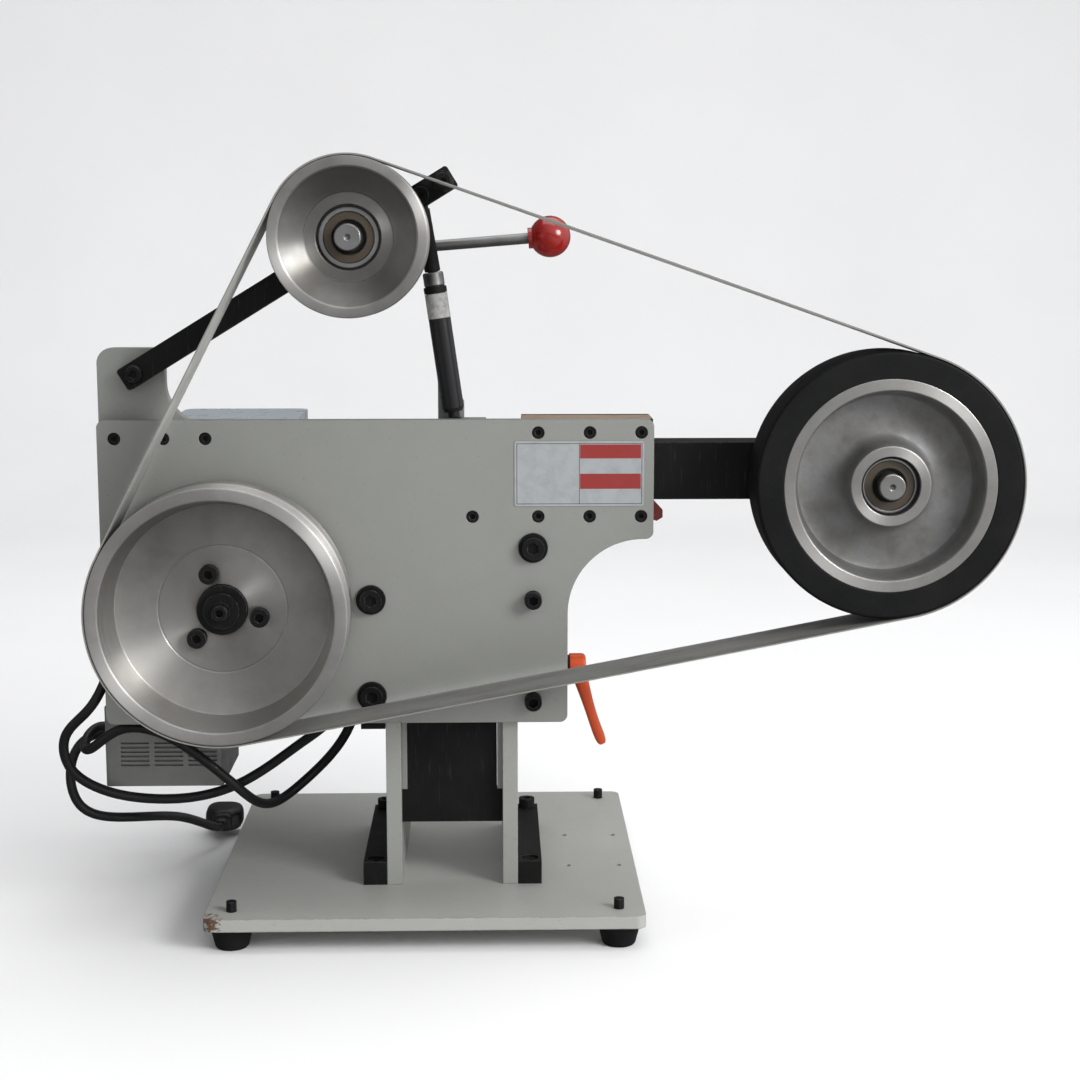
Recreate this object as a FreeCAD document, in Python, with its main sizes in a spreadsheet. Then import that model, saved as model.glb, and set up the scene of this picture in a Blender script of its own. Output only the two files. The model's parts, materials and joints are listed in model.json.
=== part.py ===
import FreeCAD, Part
import math
import os
import re
import Sketcher

# Belt grinder with a tilting idler arm, a contact wheel on a sliding tool arm and a direct-drive motor.
# Frame: +X to the right (towards the contact wheel), +Y away from the user, +Z up.
# Origin: on the floor under the rubber feet, midway across the machine's whole width and midway along
# the depth of the base plate. Places in X are written from the base plate's centre. Millimetres.

SIZES = {
    # from the base plate's centre to the origin
    "origin_x": 72.2,
    # base
    "base_width": 340, "base_depth": 340, "base_thickness": 10, "base_corner": 8,
    "foot_height": 18, "foot_top_radius": 17.2, "foot_tip_radius": 12.6, "foot_pitch": 300,
    "stud_radius": 4, "stud_stand": 8,
    "tapped_hole_radius": 2.5, "tapped_x": 135, "tapped_y": -5, "tapped_pitch_x": 42, "tapped_pitch_y": 82,
    # column
    "column_x": 19.8, "column_gap": 81, "column_thickness": 12, "column_front": -91.5,
    "column_depth": 160, "column_top": 316, "groove_y": -72, "groove_width": 14, "groove_depth": 5,
    "groove_bottom": 120, "block_width": 19, "block_height": 19, "block_gap": 0.2,
    "block_screw_front": -82, "block_screw_rear": 60,
    "web_front": -82, "web_thickness": 10, "web_bottom": 77.5, "web_notch": 104.5, "strip_width": 4.6,
    # head plates
    "plate_front": -102, "plate_thickness": 10, "plate_left": -251, "plate_right": 178.2, "plate_top": 404,
    "plate_bottom": 164.4, "step_x": 111.5, "step_z": 310.5, "step_fillet": 59, "plate_corner": 6,
    "tab_thickness": 10, "tab_top": 459, "tab_neck": -199, "tab_foot": -156, "tab_bottom": 372,
    "tab_shoulder": 400, "tab_fillet": 32, "tab_corner": 12,
    "plate_screw_head": 4.3, "plate_screw_shank": 2.5, "counterbore_radius": 4.9, "counterbore_depth": 6,
    "tab_screw_z": 389.7,
    # slide bars and their fasteners
    "bar_left": -52.2, "bar_right": 96.4, "bar_depth": 40, "bar_top": 314, "bar_left_bottom": 157,
    "bar_right_bottom": 166, "slide_gap": 0.3, "tongue_width": 13.7, "tongue_depth": 4.7,
    "left_bolt_x": -42.3, "right_bolt_x": 84.4, "bolt_high": 303.9, "bolt_middle": 263.3,
    "left_bolt_low": 186.4, "right_bolt_low": 182.1, "bolt_shank": 6, "bolt_head": 8.8,
    "bolt_head_height": 5.2, "bolt_washer": 11.6, "washer_thickness": 2, "cap_head": 6.8, "cap_height": 10,
    "cap_shank": 4,
    # tool arm channel
    "arm_bottom": 340.3, "arm_height": 44.6, "arm_depth": 36, "arm_left": 38, "arm_right": 374,
    "arm_gap": 0.3, "channel_right": 178, "channel_top_left": 76, "channel_bottom_left": 26,
    "channel_top": 403.5, "channel_bottom": 319.5, "back_plate_thickness": 8, "channel_screw_high": 393.8,
    "channel_screw_low": 328.4, "channel_screw_pitch": 40, "channel_screw_x": 88.4, "channel_screw_far": 37.3,
    "label_left": 70, "label_right": 170.6, "label_bottom": 336.6, "label_top": 387.2, "label_thickness": 0.6,
    # wheels
    "wheel_front": -160, "wheel_width": 50, "crown": 0.5,
    "drive_x": -154.9, "drive_z": 260.2, "drive_radius": 98.9,
    "contact_x": 351.3, "contact_z": 358.3, "contact_radius": 101, "rim_radius": 80.5,
    "idler_x": -52.3, "idler_z": 542.6, "idler_radius": 59.3,
    "belt_thickness": 1.2, "belt_gap": 0.05,
    "bearing_outer": 23.5, "bearing_inner": 10, "bearing_width": 14, "running_gap": 0.03, "press_gap": 0.01,
    # tension arm
    "pivot_x": -220.4, "pivot_z": 439.7, "tension_front": -104, "tension_thickness": 11.7,
    "tension_width": 18.2, "tension_tail": 10.6, "tension_reach": 286,
    "pivot_shank": 6, "pivot_head": 6.8, "pivot_head_height": 4.6,
    "strut_pin_reach": 257.5, "end_screw_reach": 277.6, "end_screw_head": 6.4, "end_screw_washer": 7.8,
    "strut_pin_radius": 4, "axle_tail": 6, "axle_nose": 6,
    "lever_y": -68, "lever_radius": 4.2, "lever_hub_radius": 18, "lever_hub_depth": 30, "knob_radius": 16,
    "lever_start_z": 531.4, "knob_x": 98.4, "knob_z": 543.6,
    # gas strut
    "strut_y": -82, "strut_foot_x": 24.3, "strut_foot_z": 398, "strut_tube_radius": 8.6,
    "strut_rod_radius": 4, "strut_bore": 6.4, "strut_eye_radius": 7.6, "strut_eye_gap": 0.4,
    "strut_tube_top": 118, "strut_tube_start": 11, "strut_eye_width": 12,
    "bracket_left": 10.5, "bracket_right": 31, "bracket_tip": 18, "bracket_shoulder": 416, "bracket_top": 438,
    "bracket_foot_low": 388, "bracket_foot_left": 33, "bracket_foot_right": 48,
    # motor
    "motor_radius": 70, "motor_bore": 62, "fin_radius": 87.5, "fin_thickness": 2.4, "flange_radius": 80,
    "motor_start": -60, "motor_end": 80, "shield_end": 90, "cover_end": 150, "cover_radius": 86,
    "shaft_radius": 12, "rotor_radius": 39.4, "stator_inner": 40, "box_width": 100, "box_top": 399.5,
    "box_front": -38, "box_depth": 96, "box_base": 348.4,
    # drive hub
    "hub_boss": 19.4, "hub_flange": 38, "hub_screw_circle": 29.4, "hub_screw_head": 7.4,
    # control box
    "control_left": -265, "control_right": -169, "control_bottom": 98, "control_top": 164,
    "control_front": -45, "control_depth": 100, "shelf_thickness": 3,
    # cables
    "cable_radius": 4,
    # levers
    "clamp_z": 204, "clamp_stud": 5, "clamp_hub": 10, "clamp_hub_start": 113.5, "clamp_hub_length": 17,
    "lock_x": 148, "lock_z": 362.5, "lock_stud": 4, "lock_hub": 8,
}

doc = FreeCAD.newDocument("belt_grinder")
sheet = doc.addObject("Spreadsheet::Sheet", "sizes")
parts = []
ALIAS = re.compile(r"[a-z][a-z_]*[a-z]")


def fill_sheet():
    """Write every driving dimension to its own row, with its name as the alias."""
    for row, (name, size) in enumerate(SIZES.items(), start=1):
        sheet.set(f"A{row}", name)
        sheet.set(f"B{row}", str(size))
        sheet.setAlias(f"B{row}", name)
    doc.recompute()


def linked(formula):
    """The formula with each alias written as a reference to the sheet."""
    return ALIAS.sub(lambda word: "sizes." + word[0] if word[0] in SIZES else word[0], str(formula))


def size(formula):
    """The formula's present value in millimetres or degrees."""
    return float(sheet.evalExpression(str(formula)))


def bind(thing, prop, formula):
    thing.setExpression(prop, linked(formula))


def new_body(label, x="0", y="0", z="0"):
    """A body whose own origin sits at the given place."""
    body = doc.addObject("PartDesign::Body", label)
    body.AllowCompound = True
    place(body, x, y, z)
    parts.append(body)
    return body


def place(item, x, y, z):
    """Put an item's own origin at a place whose X is measured from the base plate's centre."""
    for axis, formula in zip("xyz", (f"{x}-origin_x", y, z)):
        bind(item, f"Placement.Base.{axis}", formula)


def new_sketch(body, role, level="0"):
    """A sketch on one of the body's own origin planes, raised by level along the plane's normal."""
    plane = next(item for item in body.Origin.OriginFeatures if item.Role == role)
    sketch = body.newObject("Sketcher::SketchObject", body.Name + "_sketch")
    sketch.AttachmentSupport = (plane, [""])
    sketch.MapMode = "FlatFace"
    bind(sketch, "AttachmentOffset.Base.z", level)
    return sketch


def fix_point(sketch, geometry, point, x, y):
    """Hold one point of a sketch at (x, y), each a formula of the sheet."""
    for kind, axis, formula in (("DistanceX", -2, x), ("DistanceY", -1, y)):
        if abs(size(formula)) < 1e-9:
            sketch.addConstraint(Sketcher.Constraint("PointOnObject", geometry, point, axis))
            continue
        made = sketch.addConstraint(Sketcher.Constraint(kind, -1, 1, geometry, point, size(formula)))
        sketch.renameConstraint(made, f"{kind}_{geometry}_{point}")
        bind(sketch, f"Constraints.{kind}_{geometry}_{point}", formula)


def draw_outline(sketch, corners):
    """A closed outline of straight lines through the corners."""
    spots = [FreeCAD.Vector(size(x), size(y), 0) for x, y in corners]
    first = sketch.GeometryCount
    count = len(spots)
    for index in range(count):
        sketch.addGeometry(Part.LineSegment(spots[index], spots[(index + 1) % count]), False)
    for index in range(count):
        following = first + (index + 1) % count
        sketch.addConstraint(Sketcher.Constraint("Coincident", first + index, 2, following, 1))
    for index, (x, y) in enumerate(corners):
        fix_point(sketch, first + index, 1, x, y)


def draw_box(sketch, left, bottom, right, top):
    draw_outline(sketch, [(left, bottom), (right, bottom), (right, top), (left, top)])


def draw_circles(sketch, places, radius):
    for x, y in places:
        centre = FreeCAD.Vector(size(x), size(y), 0)
        made = sketch.addGeometry(Part.Circle(centre, FreeCAD.Vector(0, 0, 1), size(radius)), False)
        fix_point(sketch, made, 3, x, y)
        held = sketch.addConstraint(Sketcher.Constraint("Radius", made, size(radius)))
        sketch.renameConstraint(held, f"radius_{made}")
        bind(sketch, f"Constraints.radius_{made}", radius)


def draw_hexagons(sketch, places, radius):
    """Hexagons on their own construction circles, each with one corner straight above its centre."""
    for x, y in places:
        draw_circles(sketch, [(x, y)], radius)
        ring = sketch.GeometryCount - 1
        sketch.toggleConstruction(ring)
        spots = []
        for step in range(6):
            angle = math.radians(90 + 60 * step)
            spots.append(FreeCAD.Vector(size(x) + size(radius) * math.cos(angle),
                                        size(y) + size(radius) * math.sin(angle), 0))
        sides = [sketch.addGeometry(Part.LineSegment(spots[step], spots[(step + 1) % 6]), False)
                 for step in range(6)]
        for step, side in enumerate(sides):
            sketch.addConstraint(Sketcher.Constraint("Coincident", side, 2, sides[(step + 1) % 6], 1))
            sketch.addConstraint(Sketcher.Constraint("PointOnObject", side, 1, ring))
        for side in sides[1:]:
            sketch.addConstraint(Sketcher.Constraint("Equal", sides[0], side))
        sketch.addConstraint(Sketcher.Constraint("Vertical", ring, 3, sides[0], 1))


def pad(body, sketch, length, reverse=False, symmetric=False):
    feature = body.newObject("PartDesign::Pad", body.Name + "_pad")
    feature.Profile = sketch
    bind(feature, "Length", length)
    feature.Reversed = reverse
    feature.Midplane = symmetric
    return feature


def pocket(body, sketch, depth, reverse=False, symmetric=False):
    """Cut the sketch out of the body, and stop if nothing was cut."""
    doc.recompute()
    before = body.Shape.Volume
    feature = body.newObject("PartDesign::Pocket", body.Name + "_pocket")
    feature.Profile = sketch
    bind(feature, "Length", depth)
    feature.Reversed = reverse
    feature.Midplane = symmetric
    doc.recompute()
    if body.Shape.Volume >= before - 1e-6:
        raise RuntimeError(f"{body.Label}: a pocket cut nothing")
    return feature


def revolve(body, sketch, axis="V_Axis"):
    feature = body.newObject("PartDesign::Revolution", body.Name + "_revolution")
    feature.Profile = sketch
    feature.ReferenceAxis = (sketch, [axis])
    feature.Angle = 360
    return feature


def edges_through(body, plane_axes, spots):
    """Names of the straight edges that run square to the sketch plane through the given corners."""
    doc.recompute()
    found = []
    for number, edge in enumerate(body.Tip.Shape.Edges, start=1):
        ends = [tuple(getattr(vertex.Point, axis) for axis in plane_axes) for vertex in edge.Vertexes]
        for spot in spots:
            if len(ends) == 2 and all(math.dist(end, spot) < 0.01 for end in ends):
                found.append(f"Edge{number}")
    return found


def fillet_corners(body, plane_axes, corners, radius):
    """Round the edges that stand on the given corners of the outline."""
    spots = [(size(first), size(second)) for first, second in corners]
    edges = edges_through(body, plane_axes, spots)
    if len(edges) != len(spots):
        raise RuntimeError(f"{body.Label}: {len(edges)} edges for {len(spots)} corners")
    base = body.Tip
    feature = body.newObject("PartDesign::Fillet", body.Name + "_fillet")
    feature.Base = (base, edges)
    bind(feature, "Radius", radius)
    return feature


def turned(label, profile, x="0", y="0", z="0", axis="y"):
    """A solid of revolution. The profile's corners are (radius, distance along the axis)."""
    body = new_body(label, x, y, z)
    if axis == "x":
        sketch = new_sketch(body, "XY_Plane")
        draw_outline(sketch, [(along, radius) for radius, along in profile])
        revolve(body, sketch, "H_Axis")
    else:
        sketch = new_sketch(body, "XY_Plane" if axis == "y" else "XZ_Plane")
        draw_outline(sketch, profile)
        revolve(body, sketch)
    return body


def ring_profile(inner, outer, start, end):
    return [(inner, start), (outer, start), (outer, end), (inner, end)]


def plate(label, corners, front, thickness):
    """An upright plate, drawn in X and Z, whose front face is at the given Y."""
    body = new_body(label, "0", front, "0")
    sketch = new_sketch(body, "XZ_Plane")
    draw_outline(sketch, corners)
    pad(body, sketch, thickness, reverse=True)
    return body


def drill(body, places, radius, depth, level="0"):
    """Round holes along +Y from a level behind the body's own front face."""
    sketch = new_sketch(body, "XZ_Plane", f"-({level})")
    draw_circles(sketch, places, radius)
    pocket(body, sketch, depth)


def screw_row(label, role, places, seat, head, height, shank, length, socket=None):
    """Identical socket screws as one node: heads along the plane's normal from the seat, shanks behind."""
    body = new_body(label)
    heads = new_sketch(body, role, seat)
    draw_circles(heads, places, head)
    pad(body, heads, height)
    shanks = new_sketch(body, role, seat)
    draw_circles(shanks, places, shank)
    pad(body, shanks, length, reverse=True)
    if socket:
        sockets = new_sketch(body, role, f"{seat}+{height}")
        draw_hexagons(sockets, places, socket)
        pocket(body, sockets, f"0.6*{height}")
    return body


FOOT_PLACES = [(f"{sx}*foot_pitch/2", f"{sy}*foot_pitch/2") for sx in (-1, 1) for sy in (-1, 1)]
BASE_TOP = "(foot_height+base_thickness)"
LEVER_RISE = "atan((knob_z-lever_start_z)/(knob_x-idler_x))"
TENSION_LEAN = "atan((idler_z-pivot_z)/(idler_x-pivot_x))"
PLATE_BACK = "(plate_front+plate_thickness)"
TAB_SCREWS = [(x, "tab_screw_z") for x in ("-237.7", "-200.2", "-168")]
SCREW_COLUMNS = [f"channel_screw_x+{step}*channel_screw_pitch" for step in range(3)]
CHANNEL_SCREWS_TOP = [(x, "channel_screw_high") for x in SCREW_COLUMNS]
CHANNEL_SCREWS_LOW = [(x, "channel_screw_low") for x in SCREW_COLUMNS + ["channel_screw_far"]]
SLIDE_BOLTS = [("left_bolt_x", "bolt_middle"), ("left_bolt_x", "left_bolt_low"),
               ("right_bolt_x", "bolt_high")]
SLIDE_CAPS = [("right_bolt_x", "bolt_middle"), ("right_bolt_x", "right_bolt_low")]


def build_base():
    body = new_body("base_plate", "0", "0", "foot_height")
    sketch = new_sketch(body, "XY_Plane")
    draw_box(sketch, "-base_width/2", "-base_depth/2", "base_width/2", "base_depth/2")
    pad(body, sketch, "base_thickness")
    corners = [(f"{sx}*base_width/2", f"{sy}*base_depth/2") for sx in (-1, 1) for sy in (-1, 1)]
    fillet_corners(body, "xy", corners, "base_corner")
    holes = new_sketch(body, "XY_Plane", "base_thickness")
    draw_circles(holes, FOOT_PLACES, "stud_radius+press_gap")
    tapped = [(f"tapped_x+{sx}*tapped_pitch_x/2", f"tapped_y+{sy}*tapped_pitch_y/2")
              for sx in (-1, 1) for sy in (-1, 1)]
    draw_circles(holes, tapped, "tapped_hole_radius")
    pocket(body, holes, "base_thickness")
    screws = new_sketch(body, "XY_Plane", "base_thickness")
    draw_circles(screws, block_screw_places(), "cap_shank+press_gap")
    pocket(body, screws, "base_thickness")


def build_feet():
    """Tapered rubber feet moulded round studs that come up through the base plate."""
    feet = new_body("rubber_feet")
    top = new_sketch(feet, "XY_Plane", "foot_height")
    draw_circles(top, FOOT_PLACES, "foot_top_radius")
    disc = pad(feet, top, "foot_height", reverse=True)
    slope = "atan((foot_top_radius-foot_tip_radius)/foot_height)"
    bind(disc, "TaperAngle", f"-{slope}")
    sockets = new_sketch(feet, "XY_Plane", "foot_height")
    draw_circles(sockets, FOOT_PLACES, "stud_radius+press_gap")
    pocket(feet, sockets, "foot_height-6")
    studs = new_body("foot_studs")
    lower = new_sketch(studs, "XY_Plane", "6.1")
    draw_circles(lower, FOOT_PLACES, "stud_radius")
    pad(studs, lower, "foot_height+base_thickness+stud_stand-6.1")


def block_screw_places():
    left = "column_x-column_gap/2-column_thickness-block_gap-block_width/2"
    right = "column_x+column_gap/2+column_thickness+block_gap+block_width/2"
    return [(x, y) for x in (left, right) for y in ("block_screw_front", "block_screw_rear")]


def build_upright(label, side):
    """One upright of the column, with a guide groove milled in its outer face."""
    inner = f"column_x+{side}*column_gap/2"
    outer = f"column_x+{side}*(column_gap/2+column_thickness)"
    body = new_body(label, "0", "0", BASE_TOP)
    sketch = new_sketch(body, "XY_Plane")
    left, right = (outer, inner) if side < 0 else (inner, outer)
    draw_box(sketch, left, "column_front", right, "column_front+column_depth")
    pad(body, sketch, f"column_top-{BASE_TOP}")
    groove = new_sketch(body, "XY_Plane", f"column_top-{BASE_TOP}")
    floor = f"column_x+{side}*(column_gap/2+column_thickness-groove_depth)"
    beyond = f"column_x+{side}*(column_gap/2+column_thickness+1)"
    low, high = (beyond, floor) if side < 0 else (floor, beyond)
    draw_box(groove, low, "groove_y-groove_width/2", high, "groove_y+groove_width/2")
    pocket(body, groove, "column_top-groove_bottom")


def build_clamp_block(label, side):
    """A block beside the foot of an upright, screwed down to the base plate."""
    near = f"column_x+{side}*(column_gap/2+column_thickness+block_gap)"
    far = f"column_x+{side}*(column_gap/2+column_thickness+block_gap+block_width)"
    body = new_body(label, "0", "0", BASE_TOP)
    sketch = new_sketch(body, "XY_Plane")
    left, right = (far, near) if side < 0 else (near, far)
    draw_box(sketch, left, "column_front", right, "column_front+column_depth")
    pad(body, sketch, "block_height")
    spots = [place for place in block_screw_places() if size(f"{side}*({place[0]}-column_x)") > 0]
    holes = new_sketch(body, "XY_Plane", "block_height")
    draw_circles(holes, spots, "cap_shank+press_gap")
    pocket(body, holes, "block_height")
    sunk = new_sketch(body, "XY_Plane", "block_height")
    draw_circles(sunk, [spots[0]], "cap_head+0.3")
    pocket(body, sunk, "10")


def build_block_screws():
    """The front screws sit in counterbores; the rear ones stand on top of the blocks."""
    body = new_body("clamp_block_screws", "0", "0", BASE_TOP)
    places = block_screw_places()
    rows = (([places[0], places[2]], "block_height-10"), ([places[1], places[3]], "block_height"))
    for spots, seat in rows:
        heads = new_sketch(body, "XY_Plane", seat)
        draw_circles(heads, spots, "cap_head")
        pad(body, heads, "8")
        shanks = new_sketch(body, "XY_Plane", seat)
        draw_circles(shanks, spots, "cap_shank")
        pad(body, shanks, f"{seat}+base_thickness-1", reverse=True)
        sockets = new_sketch(body, "XY_Plane", f"{seat}+8")
        draw_hexagons(sockets, spots, "3.4")
        pocket(body, sockets, "4.5")


def build_column():
    build_upright("column_left", -1)
    build_upright("column_right", 1)
    build_clamp_block("clamp_block_left", -1)
    build_clamp_block("clamp_block_right", 1)
    build_block_screws()
    left = "column_x-column_gap/2"
    right = "column_x+column_gap/2"
    top = "column_top-6"
    corners = [(left, "web_bottom"), (right, "web_bottom"), (right, "web_notch"),
               (f"{right}-strip_width", "web_notch"), (f"{right}-strip_width", top),
               (f"{left}+strip_width", top), (f"{left}+strip_width", "web_notch"), (left, "web_notch")]
    plate("column_web", corners, "web_front", "web_thickness")
    strips = new_body("guide_strips", "0", "web_front", "0")
    sketch = new_sketch(strips, "XZ_Plane")
    draw_box(sketch, left, "web_notch+0.2", f"{left}+strip_width-0.2", top)
    draw_box(sketch, f"{right}-strip_width+0.2", "web_notch+0.2", right, top)
    pad(strips, sketch, "web_thickness", reverse=True)


def build_front_plate():
    corners = [("plate_left", "plate_bottom"), ("step_x", "plate_bottom"), ("step_x", "step_z"),
               ("plate_right", "step_z"), ("plate_right", "plate_top"), ("plate_left", "plate_top")]
    body = plate("front_plate", corners, "plate_front", "plate_thickness")
    fillet_corners(body, "xz", [("step_x", "step_z")], "step_fillet")
    outer = [corner for corner in corners if corner != ("step_x", "step_z")]
    fillet_corners(body, "xz", outer, "plate_corner")
    small = TAB_SCREWS + CHANNEL_SCREWS_TOP + CHANNEL_SCREWS_LOW
    drill(body, small, "plate_screw_shank+press_gap", "plate_thickness")
    drill(body, small, "counterbore_radius", "counterbore_depth")
    drill(body, SLIDE_BOLTS, "bolt_shank+press_gap", "plate_thickness")
    drill(body, SLIDE_CAPS, "cap_shank+press_gap", "plate_thickness")
    drill(body, [("drive_x", "drive_z")], "27", "plate_thickness")


def build_tab_plate():
    """The plate behind the front plate that rises at its left end and carries the tension arm's pivot."""
    corners = [("plate_left", "tab_bottom"), ("tab_foot", "tab_bottom"), ("tab_foot", "tab_shoulder"),
               ("tab_neck", "tab_shoulder"), ("tab_neck", "tab_top"), ("plate_left", "tab_top")]
    body = plate("tab_plate", corners, PLATE_BACK, "tab_thickness")
    fillet_corners(body, "xz", [("tab_neck", "tab_shoulder")], "tab_fillet")
    fillet_corners(body, "xz", [("plate_left", "tab_top")], "tab_corner")
    fillet_corners(body, "xz", [("tab_neck", "tab_top")], "4")
    drill(body, TAB_SCREWS, "plate_screw_shank+press_gap", "tab_thickness")
    drill(body, [("pivot_x", "pivot_z")], "pivot_shank+press_gap", "tab_thickness")


def build_slide_bar(label, side, outer, bottom, bolts, caps):
    """A guide bar behind the front plate; its tongue runs in the upright's groove."""
    face = f"column_x+{side}*(column_gap/2+column_thickness+slide_gap)"
    body = new_body(label, "0", PLATE_BACK, bottom)
    sketch = new_sketch(body, "XY_Plane")
    tip = f"{face}-{side}*tongue_depth"
    near = f"groove_y-tongue_width/2-{PLATE_BACK}"
    far = f"groove_y+tongue_width/2-{PLATE_BACK}"
    draw_outline(sketch, [(outer, "0"), (face, "0"), (face, near), (tip, near), (tip, far), (face, far),
                          (face, "bar_depth"), (outer, "bar_depth")])
    pad(body, sketch, f"bar_top-({bottom})")
    for places, radius in ((bolts, "bolt_shank+press_gap"), (caps, "cap_shank+press_gap")):
        if places:
            drill(body, [(x, f"{z}-({bottom})") for x, z in places], radius, "18")
    return body


def build_slides():
    build_slide_bar("slide_bar_left", -1, "bar_left", "bar_left_bottom", SLIDE_BOLTS[:2], [])
    right = build_slide_bar("slide_bar_right", 1, "bar_right", "bar_right_bottom", SLIDE_BOLTS[2:],
                            SLIDE_CAPS)
    bore = new_sketch(right, "YZ_Plane", "bar_right")
    draw_circles(bore, [(f"groove_y-{PLATE_BACK}", "clamp_z-bar_right_bottom")], "clamp_stud+running_gap")
    pocket(right, bore, "40")
    washer_seat = "-plate_front"
    washers = new_body("slide_bolt_washers")
    sketch = new_sketch(washers, "XZ_Plane", washer_seat)
    draw_circles(sketch, SLIDE_BOLTS, "bolt_washer")
    draw_circles(sketch, SLIDE_BOLTS, "bolt_shank+press_gap")
    pad(washers, sketch, "washer_thickness")
    screw_row("slide_bolts", "XZ_Plane", SLIDE_BOLTS, f"{washer_seat}+washer_thickness", "bolt_head",
              "bolt_head_height", "bolt_shank", "plate_thickness+washer_thickness+17", "5")
    screw_row("slide_cap_screws", "XZ_Plane", SLIDE_CAPS, washer_seat, "cap_head", "cap_height",
              "cap_shank", "plate_thickness+17", "4")
    screw_row("plate_screws", "XZ_Plane", TAB_SCREWS + CHANNEL_SCREWS_TOP + CHANNEL_SCREWS_LOW,
              f"{washer_seat}-counterbore_depth", "plate_screw_head", "5", "plate_screw_shank", "13.5", "2.4")


def build_channel():
    """Two bars and a back plate that make the square guide for the tool arm."""
    depth = "arm_depth+2*arm_gap"
    gap_low = "arm_bottom-arm_gap"
    gap_high = "arm_bottom+arm_height+arm_gap"
    top = plate("channel_bar_top", [("channel_top_left", gap_high), ("channel_right", gap_high),
                                    ("channel_right", "channel_top"), ("channel_top_left", "channel_top")],
                PLATE_BACK, depth)
    drill(top, CHANNEL_SCREWS_TOP, "plate_screw_shank+press_gap", "15")
    low = plate("channel_bar_bottom", [("channel_bottom_left", "channel_bottom"),
                                       ("channel_right", "channel_bottom"), ("channel_right", gap_low),
                                       ("channel_bottom_left", gap_low)], PLATE_BACK, depth)
    drill(low, CHANNEL_SCREWS_LOW, "plate_screw_shank+press_gap", "15")
    back = plate("channel_back_plate", [("channel_top_left", "channel_bottom"),
                                        ("channel_right", "channel_bottom"), ("channel_right", "channel_top"),
                                        ("channel_top_left", "channel_top")],
                 f"{PLATE_BACK}+{depth}", "back_plate_thickness")
    drill(back, [("lock_x", "lock_z")], "lock_stud+running_gap", "back_plate_thickness")
    label = plate("label_plate", [("label_left", "label_bottom"), ("label_right", "label_bottom"),
                                  ("label_right", "label_top"), ("label_left", "label_top")],
                  "plate_front-label_thickness", "label_thickness")
    corners = [(x, z) for x in ("label_left", "label_right") for z in ("label_bottom", "label_top")]
    fillet_corners(label, "xz", corners, "2")


def build_drive():
    """Aluminium drive wheel bolted to a steel hub on the motor shaft."""
    web = 38
    profile = [("hub_boss+0.02", web), (82.5, web), (83.5, web - 1), ("drive_radius-10", 1),
               ("drive_radius-9.4", 0), ("drive_radius-1.2", 0), ("drive_radius-crown", 1.2),
               ("drive_radius", "wheel_width/2"),
               ("drive_radius-crown", "wheel_width-1.2"), ("drive_radius-1.2", "wheel_width"),
               ("drive_radius-8", "wheel_width"), ("drive_radius-12", web + 7), ("hub_boss+0.02", web + 7)]
    wheel = turned("drive_wheel", profile, "drive_x", "wheel_front", "drive_z")
    spots = hub_screw_places()
    drill(wheel, spots, "cap_shank+press_gap", "wheel_width")
    sketch = new_sketch(wheel, "XZ_Plane", f"-{web}")
    draw_circles(sketch, [("0", "0")], "50")
    draw_circles(sketch, [("0", "0")], "49")
    pocket(wheel, sketch, "0.6")
    bore = "shaft_radius+press_gap"
    hub = turned("drive_hub", [(bore, web - 5), ("hub_boss", web - 5), ("hub_boss", web + 7),
                               ("hub_flange", web + 7), ("hub_flange", web + 14), (22, web + 14),
                               (22, web + 19), (bore, web + 19)], "drive_x", "wheel_front", "drive_z")
    drill(hub, spots, "cap_shank+press_gap", "14", f"{web + 7}")
    screws = new_body("drive_hub_screws", "drive_x", "wheel_front", "drive_z")
    heads = new_sketch(screws, "XZ_Plane", f"-{web}")
    draw_circles(heads, spots, "hub_screw_head")
    pad(screws, heads, "8")
    shanks = new_sketch(screws, "XZ_Plane", f"-{web}")
    draw_circles(shanks, spots, "cap_shank")
    pad(screws, shanks, "13", reverse=True)
    sockets = new_sketch(screws, "XZ_Plane", f"8-{web}")
    draw_hexagons(sockets, spots, "3.8")
    pocket(screws, sockets, "5")
    build_shaft(web)


def hub_screw_places():
    """Three screws on a circle, the first one 108.5 degrees round from the right."""
    return [(f"hub_screw_circle*cos({angle} deg)", f"hub_screw_circle*sin({angle} deg)")
            for angle in (108.5, 228.5, 348.5)]


def build_shaft(web):
    nose = f"wheel_front+{web - 4}"
    shaft = turned("motor_shaft", [(4.02, nose), ("shaft_radius", nose), ("shaft_radius", "-68"),
                                   (12.5, "-68"), (12.5, "-45"), ("rotor_radius", "-45"),
                                   ("rotor_radius", "55"), (12.5, "55"), (12.5, "86"), (10, "86"),
                                   (10, "128"), (0, "128"), (0, f"{nose}+20"), (4.02, f"{nose}+20")],
                   "drive_x", "0", "drive_z")
    face = f"{web - 5}"
    screw = turned("drive_centre_screw", [(0, f"{face}-14"), (5.4, f"{face}-14"), (6.5, f"{face}-13"),
                                          (6.5, f"{face}-4.5"), (14, f"{face}-4.5"), (14, face),
                                          (4, face), (4, f"{face}+18"), (0, f"{face}+18")],
                   "drive_x", "wheel_front", "drive_z")
    socket = new_sketch(screw, "XZ_Plane", f"14-{face}")
    draw_hexagons(socket, [("0", "0")], "3.4")
    pocket(screw, socket, "5")


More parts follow.
